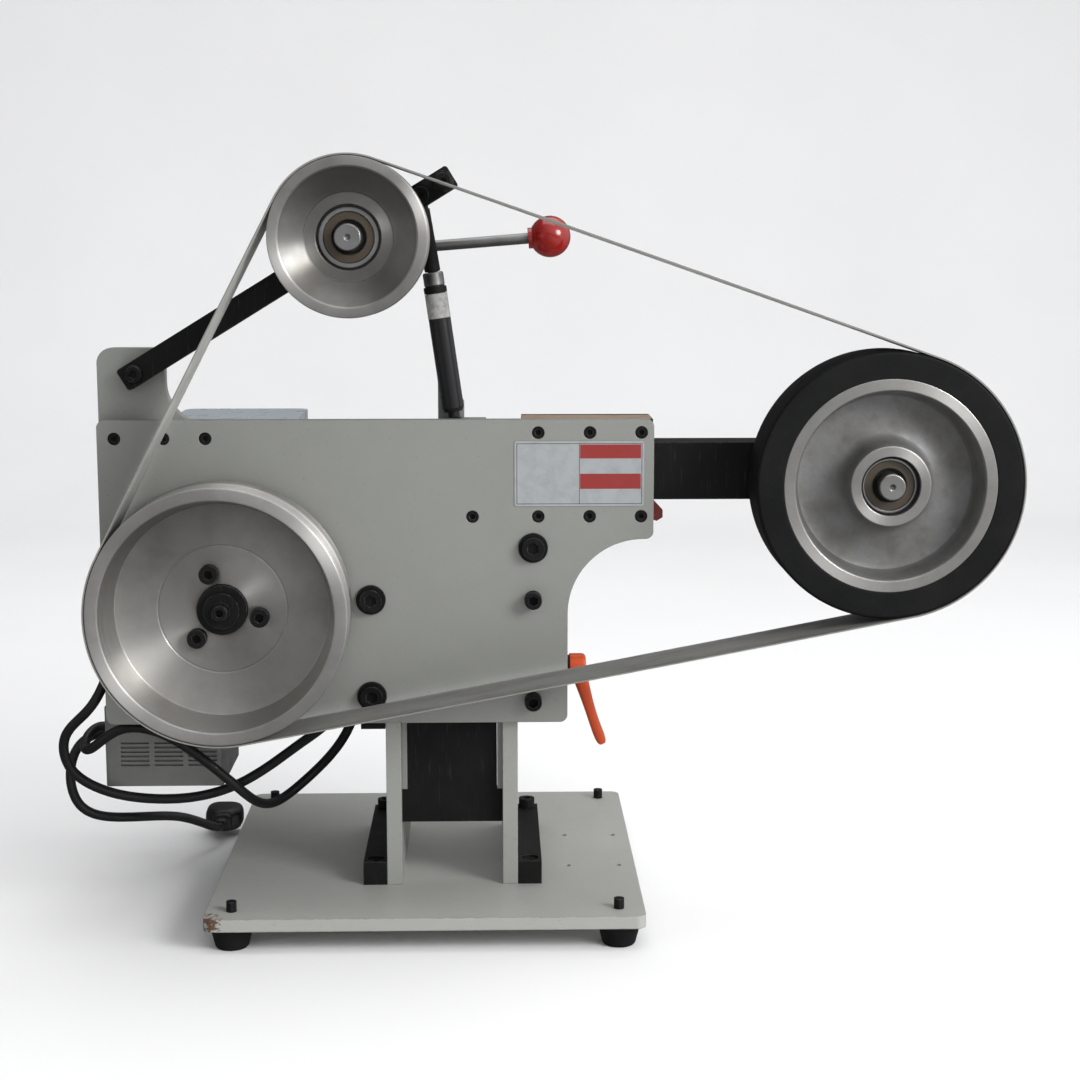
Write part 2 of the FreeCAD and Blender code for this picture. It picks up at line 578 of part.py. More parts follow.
def build_idler():
    """Spun idler: a conical dish down to a flat web ring, running on two sealed ball bearings."""
    outer = "idler_radius"
    bore = "bearing_outer+press_gap"
    front = [(bore, 15), (32.6, 15), (33.4, 14), (36, 12.4), (50.6, 1.5), (52, 0), (f"{outer}-1", 0),
             (f"{outer}-crown", 1), (outer, "wheel_width/2")]
    rear = [(f"{outer}-crown", 49), (f"{outer}-1", 50), (52, 50), (51.2, 10), (36, 20), (33.6, 23), (33, 48),
            (bore, 48)]
    turned("idler_wheel", front + rear, "idler_x", "wheel_front", "idler_z")
    build_bearings("idler", "idler_x", "idler_z", 17.5, 46)


def build_bearings(name, x, z, first, last):
    """Two bearings between two depths in the wheel's bore, each kept in by an internal circlip."""
    body = new_body(f"{name}_bearings", x, "wheel_front", z)
    clips = new_body(f"{name}_circlips", x, "wheel_front", z)
    bearing = [("bearing_inner+running_gap", 0), ("bearing_inner+3.5", 0), ("bearing_inner+3.8", 0.6),
               ("bearing_outer-3.6", 0.6), ("bearing_outer-3.3", 0), ("bearing_outer", 0),
               ("bearing_outer", "bearing_width"), ("bearing_inner+running_gap", "bearing_width")]
    clip = ring_profile("bearing_outer-3.4", "bearing_outer", -1.6, -0.1)
    for start, sign in ((first, "+"), (last, "-")):
        for target, corners in ((body, bearing), (clips, clip)):
            sketch = new_sketch(target, "XY_Plane")
            draw_outline(sketch, [(radius, f"{start}{sign}({along})") for radius, along in corners])
            revolve(target, sketch)


def build_contact_wheel():
    """Cast aluminium wheel, its web set deeper from the front than from the rear, with a rubber tyre."""
    rim = "rim_radius"
    front = [("bearing_outer+press_gap", 0), (29.6, 0), (30.3, 0.7), (31.4, 12), (33.5, 20), (38, 24.4),
             (46, 26), (63, 26), (67, 24.6), (69, 20), (70.8, 3), (72.4, 0), (rim, 0)]
    rear = [(radius, f"wheel_width-0.6*{along}") for radius, along in reversed(front)]
    turned("contact_wheel", front + rear, "contact_x", "wheel_front", "contact_z")
    inner = f"{rim}+press_gap"
    edge = "contact_radius"
    turned("contact_tyre", [(inner, 0), (f"{edge}-2", 0), (edge, 2), (edge, "wheel_width-2"),
                            (f"{edge}-2", "wheel_width"), (inner, "wheel_width")],
           "contact_x", "wheel_front", "contact_z")
    build_bearings("contact", "contact_x", "contact_z", 6.5, 43.5)


def build_axles():
    """Fixed axles: a shouldered pin through the tool arm and one through the tension arm."""
    near = "wheel_width-6.5"
    arm_face = "plate_front+plate_thickness+arm_gap-wheel_front"
    arm_back = f"{arm_face}+arm_depth"
    turned("contact_axle", [(0, "2.5-axle_nose"), (2.5, "-axle_nose"), (9.2, "-axle_nose"),
                            ("bearing_inner", "0.8-axle_nose"), ("bearing_inner", near),
                            (14, near), (14, arm_face), ("bearing_inner", arm_face),
                            ("bearing_inner", arm_back), (15, arm_back), (15, f"{arm_back}+9"),
                            (0, f"{arm_back}+9")], "contact_x", "wheel_front", "contact_z")
    face = "tension_front-wheel_front"
    end = f"{face}+tension_thickness+lever_hub_depth"
    turned("idler_axle", [(0, 6), (2.5, 3.5), (9.2, 3.5), ("bearing_inner", 4.3), ("bearing_inner", 46),
                          (14, 46), (14, face), ("axle_tail", face), ("axle_tail", end), (0, end)],
           "idler_x", "wheel_front", "idler_z")


def build_tension_arm():
    """A flat steel bar drawn along its own length, then tilted to its working angle."""
    body = new_body("tension_arm", "pivot_x", "tension_front", "pivot_z")
    lean_body(body, f"-{TENSION_LEAN}")
    sketch = new_sketch(body, "XZ_Plane")
    half = "tension_width/2"
    draw_outline(sketch, [("-tension_tail", f"-{half}"), ("tension_reach", f"-{half}"),
                          ("tension_reach", half), ("-tension_tail", half)])
    pad(body, sketch, "tension_thickness", reverse=True)
    corners = [(x, z) for x in ("-tension_tail", "tension_reach") for z in (f"-{half}", half)]
    fillet_corners(body, "xz", corners, "2.5")
    drill(body, [("0", "0")], "pivot_shank+running_gap", "tension_thickness")
    reach = "sqrt((idler_x-pivot_x)^2+(idler_z-pivot_z)^2)"
    drill(body, [(reach, "0")], "axle_tail+press_gap", "tension_thickness")
    stud = new_sketch(body, "XZ_Plane", "-tension_thickness")
    draw_circles(stud, [("strut_pin_reach", "0")], "strut_pin_radius")
    pad(body, stud, "strut_eye_width+5", reverse=True)
    washer = new_sketch(body, "XZ_Plane", "0")
    draw_circles(washer, [("end_screw_reach", "0")], "end_screw_washer")
    pad(body, washer, "1")
    head = new_sketch(body, "XZ_Plane", "0")
    draw_circles(head, [("strut_pin_reach", "0"), ("end_screw_reach", "0")], "end_screw_head")
    pad(body, head, "3")
    socket = new_sketch(body, "XZ_Plane", "3")
    draw_hexagons(socket, [("strut_pin_reach", "0"), ("end_screw_reach", "0")], "2.9")
    pocket(body, socket, "2")
    seat = "tension_front-running_gap"
    top = f"{seat}-pivot_head_height"
    tip = f"{PLATE_BACK}+tab_thickness+2"
    bolt = turned("arm_pivot_bolt", [(0, top), ("pivot_head-1", top), ("pivot_head", f"{top}+1"),
                                     ("pivot_head", seat), ("pivot_shank", seat), ("pivot_shank", tip),
                                     (0, tip)], "pivot_x", "0", "pivot_z")
    hexagon = new_sketch(bolt, "XZ_Plane", f"-({seat})+pivot_head_height")
    draw_hexagons(hexagon, [("0", "0")], "3.6")
    pocket(bolt, hexagon, "2.8")


def build_release_lever():
    """Hub on the idler axle's tail with a rod to the ball knob; the rod rises gently to the right."""
    face = "tension_front+tension_thickness"
    body = new_body("release_lever", "idler_x", face, "idler_z")
    lean_body(body, f"-({LEVER_RISE})")
    ring = new_sketch(body, "XZ_Plane", "-0.05")
    draw_circles(ring, [("0", "0")], "lever_hub_radius")
    pad(body, ring, "lever_hub_depth-0.05", reverse=True)
    rod = new_sketch(body, "YZ_Plane", "6")
    drop = f"(idler_z-lever_start_z)*cos({LEVER_RISE})"
    draw_circles(rod, [(f"lever_y-({face})", f"-{drop}")], "lever_radius")
    reach = f"(knob_x-idler_x)/cos({LEVER_RISE})-{drop}*tan({LEVER_RISE})"
    pad(body, rod, f"{reach}-14")
    drill(body, [("0", "0")], "axle_tail+press_gap", "lever_hub_depth")
    build_ball_knob()


def build_ball_knob():
    """A ball with a short neck, bored to push on to the lever's rod."""
    ball = doc.addObject("Part::Sphere", "knob_ball")
    bind(ball, "Radius", "knob_radius")
    place(ball, "knob_x", "lever_y", "knob_z")
    neck = along_lever("knob_neck", "8", "5", "knob_radius+1")
    bore = along_lever("knob_bore", "lever_radius+press_gap", "10", "knob_radius+1.5")
    whole = doc.addObject("Part::Fuse", "knob_with_neck")
    whole.Base = ball
    whole.Tool = neck
    knob = doc.addObject("Part::Cut", "ball_knob")
    knob.Base = whole
    knob.Tool = bore
    parts.append(knob)


def along_lever(name, radius, length, back):
    """A cylinder on the lever rod's axis that starts the given distance before the ball's centre."""
    cylinder = doc.addObject("Part::Cylinder", name)
    bind(cylinder, "Radius", radius)
    bind(cylinder, "Height", length)
    place(cylinder, f"knob_x-({back})*cos({LEVER_RISE})", "lever_y", f"knob_z-({back})*sin({LEVER_RISE})")
    lean_body(cylinder, f"90-({LEVER_RISE}) / 1deg")
    return cylinder


def build_strut():
    """Gas strut from a bracket behind the front plate to the tension arm, each half made along +Z."""
    run = f"(pivot_x+strut_pin_reach*cos({TENSION_LEAN})-strut_foot_x)"
    rise = f"(pivot_z+strut_pin_reach*sin({TENSION_LEAN})-strut_foot_z)"
    length = f"sqrt({run}^2+{rise}^2)"
    lean = f"atan({run}/{rise})"
    profile = [(0, "strut_tube_start"), ("strut_tube_radius-1.5", "strut_tube_start"),
               ("strut_tube_radius", "strut_tube_start+3"), ("strut_tube_radius", "strut_tube_top-16"),
               ("strut_tube_radius-1", "strut_tube_top-15"), ("strut_tube_radius-1", "strut_tube_top-8.5"),
               ("strut_tube_radius-1.6", "strut_tube_top-8"), ("strut_tube_radius-1.6", "strut_tube_top"),
               ("strut_rod_radius+running_gap", "strut_tube_top"),
               ("strut_rod_radius+running_gap", "strut_tube_top-8"), ("strut_bore", "strut_tube_top-8"),
               ("strut_bore", "strut_tube_start+6"), (0, "strut_tube_start+6")]
    tube = turned("strut_tube", profile, "strut_foot_x", "strut_y", "strut_foot_z", axis="z")
    lean_body(tube, lean)
    neck = new_sketch(tube, "XY_Plane", "0")
    draw_circles(neck, [("0", "0")], "4.5")
    pad(tube, neck, "strut_tube_start+2")
    add_eye(tube, "0", "strut_pin_radius+running_gap", "strut_eye_radius")
    rod = new_body("strut_rod", "strut_foot_x", "strut_y", "strut_foot_z")
    lean_body(rod, lean)
    stem = new_sketch(rod, "XY_Plane", "60")
    draw_circles(stem, [("0", "0")], "strut_rod_radius")
    pad(rod, stem, f"{length}-60")
    piston = new_sketch(rod, "XY_Plane", "60")
    draw_circles(piston, [("0", "0")], "strut_bore-running_gap")
    pad(rod, piston, "7")
    add_eye(rod, f"{length}", "strut_pin_radius+strut_eye_gap", "strut_eye_radius+0.8")
    build_strut_bracket()


def lean_body(body, lean):
    """Turn a body about +Y by the given angle, so that its own Z axis leans towards +X."""
    for axis, part in zip("xyz", ("0", "1", "0")):
        body.setExpression(f"Placement.Rotation.Axis.{axis}", part)
    bind(body, "Placement.Rotation.Angle", lean)


def add_eye(body, height, bore, outer):
    """A round eye across the body's axis, bored for a pin along Y."""
    boss = new_sketch(body, "XZ_Plane")
    draw_circles(boss, [("0", height)], outer)
    pad(body, boss, "strut_eye_width", symmetric=True)
    hole = new_sketch(body, "XZ_Plane")
    draw_circles(hole, [("0", height)], bore)
    pocket(body, hole, "strut_eye_width+4", symmetric=True)


def build_strut_bracket():
    """A tall lug whose pin carries the strut's lower eye, on a foot beside it that stands clear above
    the tool arm on the back of the front plate."""
    lug_front = "strut_y+strut_tube_radius+0.6"
    low, high, outer = "bracket_foot_low", "plate_top-1", "bracket_foot_right"
    body = plate("strut_bracket", [("bracket_left", low), (outer, low), (outer, high),
                                   ("bracket_right", high), ("bracket_right", "bracket_shoulder"),
                                   ("bracket_tip", "bracket_top"), ("bracket_left", "bracket_top")],
                 lug_front, "5")
    reach = f"{lug_front}-(plate_front+plate_thickness)"
    foot = new_sketch(body, "XZ_Plane", reach)
    draw_box(foot, "bracket_foot_left", low, outer, high)
    pad(body, foot, f"{reach}+1", reverse=True)
    pin = new_sketch(body, "XZ_Plane", "0")
    draw_circles(pin, [("strut_foot_x", "strut_foot_z")], "strut_pin_radius")
    pad(body, pin, "strut_tube_radius+strut_eye_width/2+1.2")


def build_motor():
    """Finned induction motor, flange mounted behind the front plate."""
    housing = turned("motor_housing", [("motor_bore", "motor_start"), ("motor_radius", "motor_start"),
                                       ("motor_radius", "motor_end"), ("motor_radius+12", "motor_end"),
                                       ("motor_radius+12", "shield_end"), ("26", "shield_end"),
                                       ("26", "motor_end-8"), ("30", "motor_end-8"), ("30", "motor_end"),
                                       ("motor_bore", "motor_end")], "drive_x", "0", "drive_z")
    fin = new_sketch(housing, "XZ_Plane", "-(motor_start+4)")
    draw_box(fin, "-fin_thickness/2", "motor_radius-1", "fin_thickness/2", "fin_radius")
    blade = pad(housing, fin, "motor_end-motor_start-8", reverse=True)
    fins = housing.newObject("PartDesign::PolarPattern", "fins")
    fins.Originals = [blade]
    fins.Axis = (fin, ["N_Axis"])
    fins.Angle = 360
    fins.Occurrences = 36
    housing.Tip = fins
    doc.recompute()
    seat = new_sketch(housing, "XZ_Plane", "-(box_front+10)")
    draw_box(seat, "-30", "motor_radius-4", "30", "box_base-drive_z")
    pad(housing, seat, "box_depth-20", reverse=True)
    turned("motor_front_shield", [(26, PLATE_BACK), ("flange_radius", PLATE_BACK),
                                  ("flange_radius", f"{PLATE_BACK}+10"), (66, f"{PLATE_BACK}+12"),
                                  ("motor_radius+10", "motor_start-6"), ("motor_radius+10", "motor_start"),
                                  ("motor_bore-1", "motor_start"), (30, "motor_start-6"),
                                  (26, "motor_start-6")], "drive_x", "0", "drive_z")
    turned("motor_stator", ring_profile("stator_inner", "motor_bore-press_gap", "-45", "55"), "drive_x", "0",
           "drive_z")
    bearings = new_body("motor_bearings", "drive_x", "0", "drive_z")
    for start, end in ((f"{PLATE_BACK}+8", f"{PLATE_BACK}+23"), ("motor_end-8", "motor_end+7")):
        sketch = new_sketch(bearings, "XY_Plane")
        inner = "12.51" if start == "motor_end-8" else "12.01"
        draw_outline(sketch, ring_profile(inner, "25.97", start, end))
        revolve(bearings, sketch)
    build_fan()
    build_terminal_box()


def build_fan():
    fan = turned("motor_fan", [("10.01", 98), (22, 98), (22, 100), (66, 100), (66, 102.5), ("10.01", 102.5)],
                 "drive_x", "0", "drive_z")
    vane = new_sketch(fan, "XZ_Plane", "-102")
    draw_box(vane, "-1.2", "24", "1.2", "66")
    blade = pad(fan, vane, "18", reverse=True)
    vanes = fan.newObject("PartDesign::PolarPattern", "vanes")
    vanes.Originals = [blade]
    vanes.Axis = (vane, ["N_Axis"])
    vanes.Angle = 360
    vanes.Occurrences = 8
    fan.Tip = vanes
    shell = [("cover_radius-1.6", "shield_end-12"), ("cover_radius", "shield_end-12"),
             ("cover_radius", "cover_end-10"), ("cover_radius-3", "cover_end-3"),
             ("cover_radius-10", "cover_end"), (0, "cover_end"), (0, "cover_end-1.6"),
             ("cover_radius-11", "cover_end-1.6"), ("cover_radius-4.6", "cover_end-4.5"),
             ("cover_radius-1.6", "cover_end-11")]
    cover = turned("motor_fan_cover", shell, "drive_x", "0", "drive_z")
    slot = new_sketch(cover, "XZ_Plane", "-cover_end")
    draw_box(slot, "-1.7", "20", "1.7", "cover_radius-16")
    first = pocket(cover, slot, "4", reverse=True)
    slots = cover.newObject("PartDesign::PolarPattern", "grille")
    slots.Originals = [first]
    slots.Axis = (slot, ["N_Axis"])
    slots.Angle = 360
    slots.Occurrences = 24
    cover.Tip = slots


def build_terminal_box():
    body = new_body("terminal_box", "drive_x", "box_front", "box_base")
    sketch = new_sketch(body, "XY_Plane")
    draw_box(sketch, "-box_width/2", "0", "box_width/2", "box_depth")
    pad(body, sketch, "box_top-box_base-9.2")
    corners = [(f"{side}*box_width/2", y) for side in (-1, 1) for y in ("0", "box_depth")]
    fillet_corners(body, "xy", corners, "9")
    hollow = new_sketch(body, "XY_Plane", "box_top-box_base-9.2")
    draw_box(hollow, "-box_width/2+5", "5", "box_width/2-5", "box_depth-5")
    pocket(body, hollow, "box_top-box_base-9.2-5")
    lid = new_body("terminal_box_lid", "drive_x", "box_front", "box_top-9")
    top = new_sketch(lid, "XY_Plane")
    draw_box(top, "-box_width/2-1.5", "-1.5", "box_width/2+1.5", "box_depth+1.5")
    pad(lid, top, "9")
    corners = [(f"{side}*(box_width/2+1.5)", y) for side in (-1, 1) for y in ("-1.5", "box_depth+1.5")]
    fillet_corners(lid, "xy", corners, "10")


def build_control_box():
    """Speed-control box on a shelf bracket below the motor, with louvres in its front face."""
    body = new_body("control_box", "control_left", "control_front", "control_bottom")
    width = "(control_right-control_left)"
    sketch = new_sketch(body, "XY_Plane")
    draw_box(sketch, "0", "0", width, "control_depth")
    pad(body, sketch, "control_top-control_bottom")
    corners = [(x, y) for x in ("0", width) for y in ("0", "control_depth")]
    fillet_corners(body, "xy", corners, "4")
    louvres = new_sketch(body, "XZ_Plane")
    for column in range(3):
        for row in range(6):
            left = 13 + 27.5 * column
            low = 17 + 3.7 * row
            draw_box(louvres, f"{left}", f"{low}", f"{left}+23", f"{low}+1.7")
    pocket(body, louvres, "2")
    shelf = plate("control_box_shelf", [("-250", "control_top"), ("-214", "control_top"), ("-214", "200"),
                                        ("-250", "200")], PLATE_BACK, "shelf_thickness")
    tray = new_sketch(shelf, "XZ_Plane")
    draw_box(tray, "-250", "control_top", "-172", "control_top+shelf_thickness")
    pad(shelf, tray, "control_front+control_depth-10-(plate_front+plate_thickness)", reverse=True)


def tube_along(points, radius):
    """A round cable swept along a smooth curve through the points."""
    curve = Part.BSplineCurve()
    curve.interpolate([FreeCAD.Vector(*point) for point in points])
    path = Part.Wire(curve.toShape())
    start, tangent = curve.value(curve.FirstParameter), curve.tangent(curve.FirstParameter)[0]
    section = Part.Wire(Part.makeCircle(radius, start, tangent))
    return path.makePipeShell([section], True, True)


def build_cables():
    """Slack leads between the motor, the control box and the mains plug lying beside the base."""
    motor_lead = [(-206, 12, 370), (-214, 11, 368.5), (-232, 0, 335), (-252, -30, 262), (-258, -50, 200),
                  (-275, -60, 165), (-294, -57, 143), (-293, -54, 119), (-268, -52, 98), (-232, -46, 88),
                  (-197, -41, 87), (-158, -37, 97), (-106, -36, 131), (-78, -56, 158), (-63, -65, 190),
                  (-60, -62, 230), (-59, -40, 290), (-62, -10, 345), (-80, 1, 371), (-103, 2, 372)]
    control_lead = [(-266.6, -20, 142), (-274, -20.6, 142), (-282, -38, 134), (-272, -63, 135),
                    (-249, -68, 151), (-222, -68, 151), (-193, -64, 134), (-155, -54, 98), (-131, -20, 76),
                    (-108, 0, 88), (-70, -2, 133), (-58, -8, 180), (-57, 2, 240), (-58, 16, 300),
                    (-64, 26, 345), (-81, 30, 371), (-103, 30, 372)]
    mains_lead = [(-265.6, 22, 128), (-274, 21, 128), (-296, 12, 120), (-305, 5, 96), (-296, 4, 66),
                  (-262, 20, 52), (-225, 60, 40), (-206, 90, 24), (-197.5, 104, 16.5), (-196, 111.4, 15)]
    leads = (motor_lead, control_lead, mains_lead)
    radius = size("cable_radius")
    cables = doc.addObject("Part::Feature", "cables")
    cables.Shape = Part.makeCompound([tube_along(path, radius) for path in leads])
    place(cables, "0", "0", "0")
    parts.append(cables)
    plug = new_body("mains_plug", "-196", "112", "3")
    sketch = new_sketch(plug, "XY_Plane")
    draw_outline(sketch, [("-9", "0"), ("9", "0"), ("17", "20"), ("17", "40"), ("-17", "40"), ("-17", "20")])
    pad(plug, sketch, "24")
    blades = new_sketch(plug, "XZ_Plane", "-40")
    draw_box(blades, "-10", "10", "-8", "16")
    draw_box(blades, "8", "10", "10", "16")
    pad(plug, blades, "18", reverse=True)


def tangent_points(first, second):
    """Where the outer straight run from one wheel touches it and the next, wheels as (x, z, radius)."""
    dx, dz = second[0] - first[0], second[1] - first[1]
    heading = math.atan2(dz, dx)
    side = heading - math.pi / 2 + math.asin((first[2] - second[2]) / math.hypot(dx, dz))
    return [(x + radius * math.cos(side), z + radius * math.sin(side)) for x, z, radius in (first, second)]


def belt_loop(offset):
    """Closed wire round the three wheels at the given distance outside their rims."""
    wheels = [(size(f"{name}_x"), size(f"{name}_z"), size(f"{name}_radius") + offset)
              for name in ("drive", "contact", "idler")]
    runs = [tangent_points(wheels[index], wheels[(index + 1) % 3]) for index in range(3)]
    y = size("wheel_front")
    edges = []
    for index, wheel in enumerate(wheels):
        arrive, leave = runs[index - 1][1], runs[index][0]
        first = math.atan2(arrive[1] - wheel[1], arrive[0] - wheel[0])
        last = math.atan2(leave[1] - wheel[1], leave[0] - wheel[0])
        middle = first + ((last - first) % (2 * math.pi)) / 2
        crest = (wheel[0] + wheel[2] * math.cos(middle), wheel[1] + wheel[2] * math.sin(middle))
        spots = [FreeCAD.Vector(x, y, z) for x, z in (arrive, crest, leave)]
        edges.append(Part.Arc(*spots).toShape())
        ends = [FreeCAD.Vector(x, y, z) for x, z in runs[index]]
        edges.append(Part.LineSegment(*ends).toShape())
    return Part.Wire(edges)


def build_belt():
    """Endless abrasive belt, 50 mm wide, as the thin wall between two offset loops."""
    inner = belt_loop(size("belt_gap"))
    outer = belt_loop(size("belt_gap+belt_thickness"))
    band = Part.Face(outer).cut(Part.Face(inner))
    belt = doc.addObject("Part::Feature", "abrasive_belt")
    belt.Shape = band.extrude(FreeCAD.Vector(0, size("wheel_width"), 0))
    place(belt, "0", "0", "0")
    parts.append(belt)


def build_tool_arm():
    body = plate("tool_arm", [("arm_left", "arm_bottom"), ("arm_right", "arm_bottom"),
                              ("arm_right", "arm_bottom+arm_height"), ("arm_left", "arm_bottom+arm_height")],
                 f"{PLATE_BACK}+arm_gap", "arm_depth")
    corners = [(x, z) for x in ("arm_left", "arm_right") for z in ("arm_bottom", "arm_bottom+arm_height")]
    fillet_corners(body, "xz", corners, "2")
    drill(body, [("contact_x", "contact_z")], "bearing_inner+press_gap", "arm_depth")


def build_clamp_lever():
    """Ratchet lever whose stud locks the head on the column."""
    tip = "column_x+column_gap/2+column_thickness-groove_depth+0.3"
    shoulder = "bar_right+0.5"
    turned("clamp_stud", [(0, tip), ("clamp_stud", tip), ("clamp_stud", shoulder), ("clamp_hub-2", shoulder),
                          ("clamp_hub-2", "clamp_hub_start"), (4, "clamp_hub_start"),
                          (4, "clamp_hub_start+10"), (0, "clamp_hub_start+10")],
           "0", "groove_y", "clamp_z", axis="x")
    lever = new_body("clamp_lever", "clamp_hub_start", "groove_y", "clamp_z")
    hub = new_sketch(lever, "XY_Plane")
    length = "clamp_hub_length"
    draw_outline(hub, [("0.1", "4.05"), ("0.1", "clamp_hub"), (f"{length}-3", "clamp_hub"),
                       (length, "clamp_hub-3"), (length, "0"), ("10.5", "0"), ("10.5", "4.05")])
    revolve(lever, hub, "H_Axis")
    blade = new_sketch(lever, "XZ_Plane", "0")
    draw_outline(blade, [("3", "-7"), (length, "-4"), ("23", "-40"), ("31.5", "-62"), ("28", "-66"),
                         ("24", "-65"), ("14", "-40")])
    pad(lever, blade, "11", symmetric=True)
    fillet_corners(lever, "xz", [("28", "-66"), ("31.5", "-62"), ("24", "-65")], "1.2")


def build_lock_lever():
    """Ratchet lever behind the channel that locks the tool arm, pointing down to the right."""
    seat = f"{PLATE_BACK}+arm_depth+2*arm_gap"
    base = "back_plate_thickness+1"
    body = turned("arm_lock_lever", [(0, "-0.3"), ("lock_stud", "-0.3"), ("lock_stud", base),
                                     ("lock_hub", base), ("lock_hub", f"{base}+17"),
                                     ("lock_hub-2", f"{base}+19"), (0, f"{base}+19")],
                  "lock_x", seat, "lock_z")
    blade = new_sketch(body, "XZ_Plane", "-(back_plate_thickness+9)")
    draw_outline(blade, [("-1", "-6.5"), ("6.5", "1"), ("43", "-38"), ("43", "-44"), ("38", "-47"),
                         ("33", "-45")])
    pad(body, blade, "9", reverse=True)


def check_model():
    """Stop on any failed feature or bad shape."""
    doc.recompute()
    for item in doc.Objects:
        if "Invalid" in item.State or "Error" in item.State:
            raise RuntimeError(f"{item.Label} failed: {item.State}")
    for item in parts:
        if item.Shape.isNull() or not item.Shape.isValid() or not item.Shape.Solids:
            raise RuntimeError(f"{item.Label} has no valid solid")


def write_parts():
    os.makedirs("parts", exist_ok=True)
    for item in parts:
        item.Shape.exportStep(f"parts/{item.Name}.step")


fill_sheet()
build_base()
build_feet()
build_column()
build_front_plate()
build_tab_plate()
build_slides()
build_channel()
build_drive()
build_idler()
build_contact_wheel()
build_axles()
build_tension_arm()
build_release_lever()
build_strut()
build_motor()
build_control_box()
build_cables()
build_belt()
build_tool_arm()
build_clamp_lever()
build_lock_lever()
check_model()
write_parts()
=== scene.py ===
import json
import math
import random

import bmesh
import bpy
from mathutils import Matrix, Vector


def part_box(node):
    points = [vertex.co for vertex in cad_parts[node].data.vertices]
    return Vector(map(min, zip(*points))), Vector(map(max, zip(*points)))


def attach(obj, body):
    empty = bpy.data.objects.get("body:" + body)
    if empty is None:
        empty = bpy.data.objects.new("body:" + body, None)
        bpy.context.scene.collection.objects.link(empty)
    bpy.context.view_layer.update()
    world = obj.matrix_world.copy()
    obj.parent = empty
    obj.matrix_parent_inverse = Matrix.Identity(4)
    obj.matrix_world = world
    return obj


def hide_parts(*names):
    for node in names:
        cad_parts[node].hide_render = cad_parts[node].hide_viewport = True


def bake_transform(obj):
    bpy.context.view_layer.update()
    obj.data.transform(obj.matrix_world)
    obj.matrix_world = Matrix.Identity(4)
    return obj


# Looks for the belt grinder. Every length is in metres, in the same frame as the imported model:
# +X to the right towards the contact wheel, +Y away from the user, +Z up, origin on the floor.

MM = 0.001
random.seed(7)

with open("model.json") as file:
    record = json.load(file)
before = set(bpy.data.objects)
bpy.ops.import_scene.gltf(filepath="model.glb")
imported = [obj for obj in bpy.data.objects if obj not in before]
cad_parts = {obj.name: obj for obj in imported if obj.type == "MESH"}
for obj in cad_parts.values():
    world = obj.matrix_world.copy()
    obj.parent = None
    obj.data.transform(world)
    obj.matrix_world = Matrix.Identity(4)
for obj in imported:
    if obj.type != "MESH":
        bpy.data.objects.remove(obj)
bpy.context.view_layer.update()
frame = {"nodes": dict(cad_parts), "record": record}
nodes = frame["nodes"]


# ---------------------------------------------------------------- places, nearly all taken from the frame

def middle(node):
    """Centre of a node's box."""
    low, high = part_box(node)
    return (low + high) / 2


def extent(node):
    """Size of a node's box along each axis."""
    low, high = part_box(node)
    return high - low


def radius_of(node):
    """Radius of a round node whose axis lies along Y."""
    return extent(node).x / 2


DRIVE = middle("drive_wheel")
CONTACT = middle("contact_tyre")
IDLER = middle("idler_wheel")
WHEEL_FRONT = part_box("drive_wheel")[0].y
WHEEL_WIDTH = extent("drive_wheel").y
BACKWARDS = Vector((0, 1, 0))
JOINTS = {joint["name"]: joint for joint in frame["record"]["behaviour"]["joints"]}
STRUT_FOOT = Vector(JOINTS["strut_swing"]["pos_m"])
STRUT_AXIS = Vector(JOINTS["strut_slide"]["axis"])
CAMERA_PLACE = Vector((-0.0187, -1.5662, 0.5353))
CAMERA_DOWN, CAMERA_RIGHT = math.radians(8.745), math.radians(1.42)
BASE_CORNER = Vector((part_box("base_plate")[0].x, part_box("base_plate")[0].y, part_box("base_plate")[1].z))


# ---------------------------------------------------------------- shader building blocks

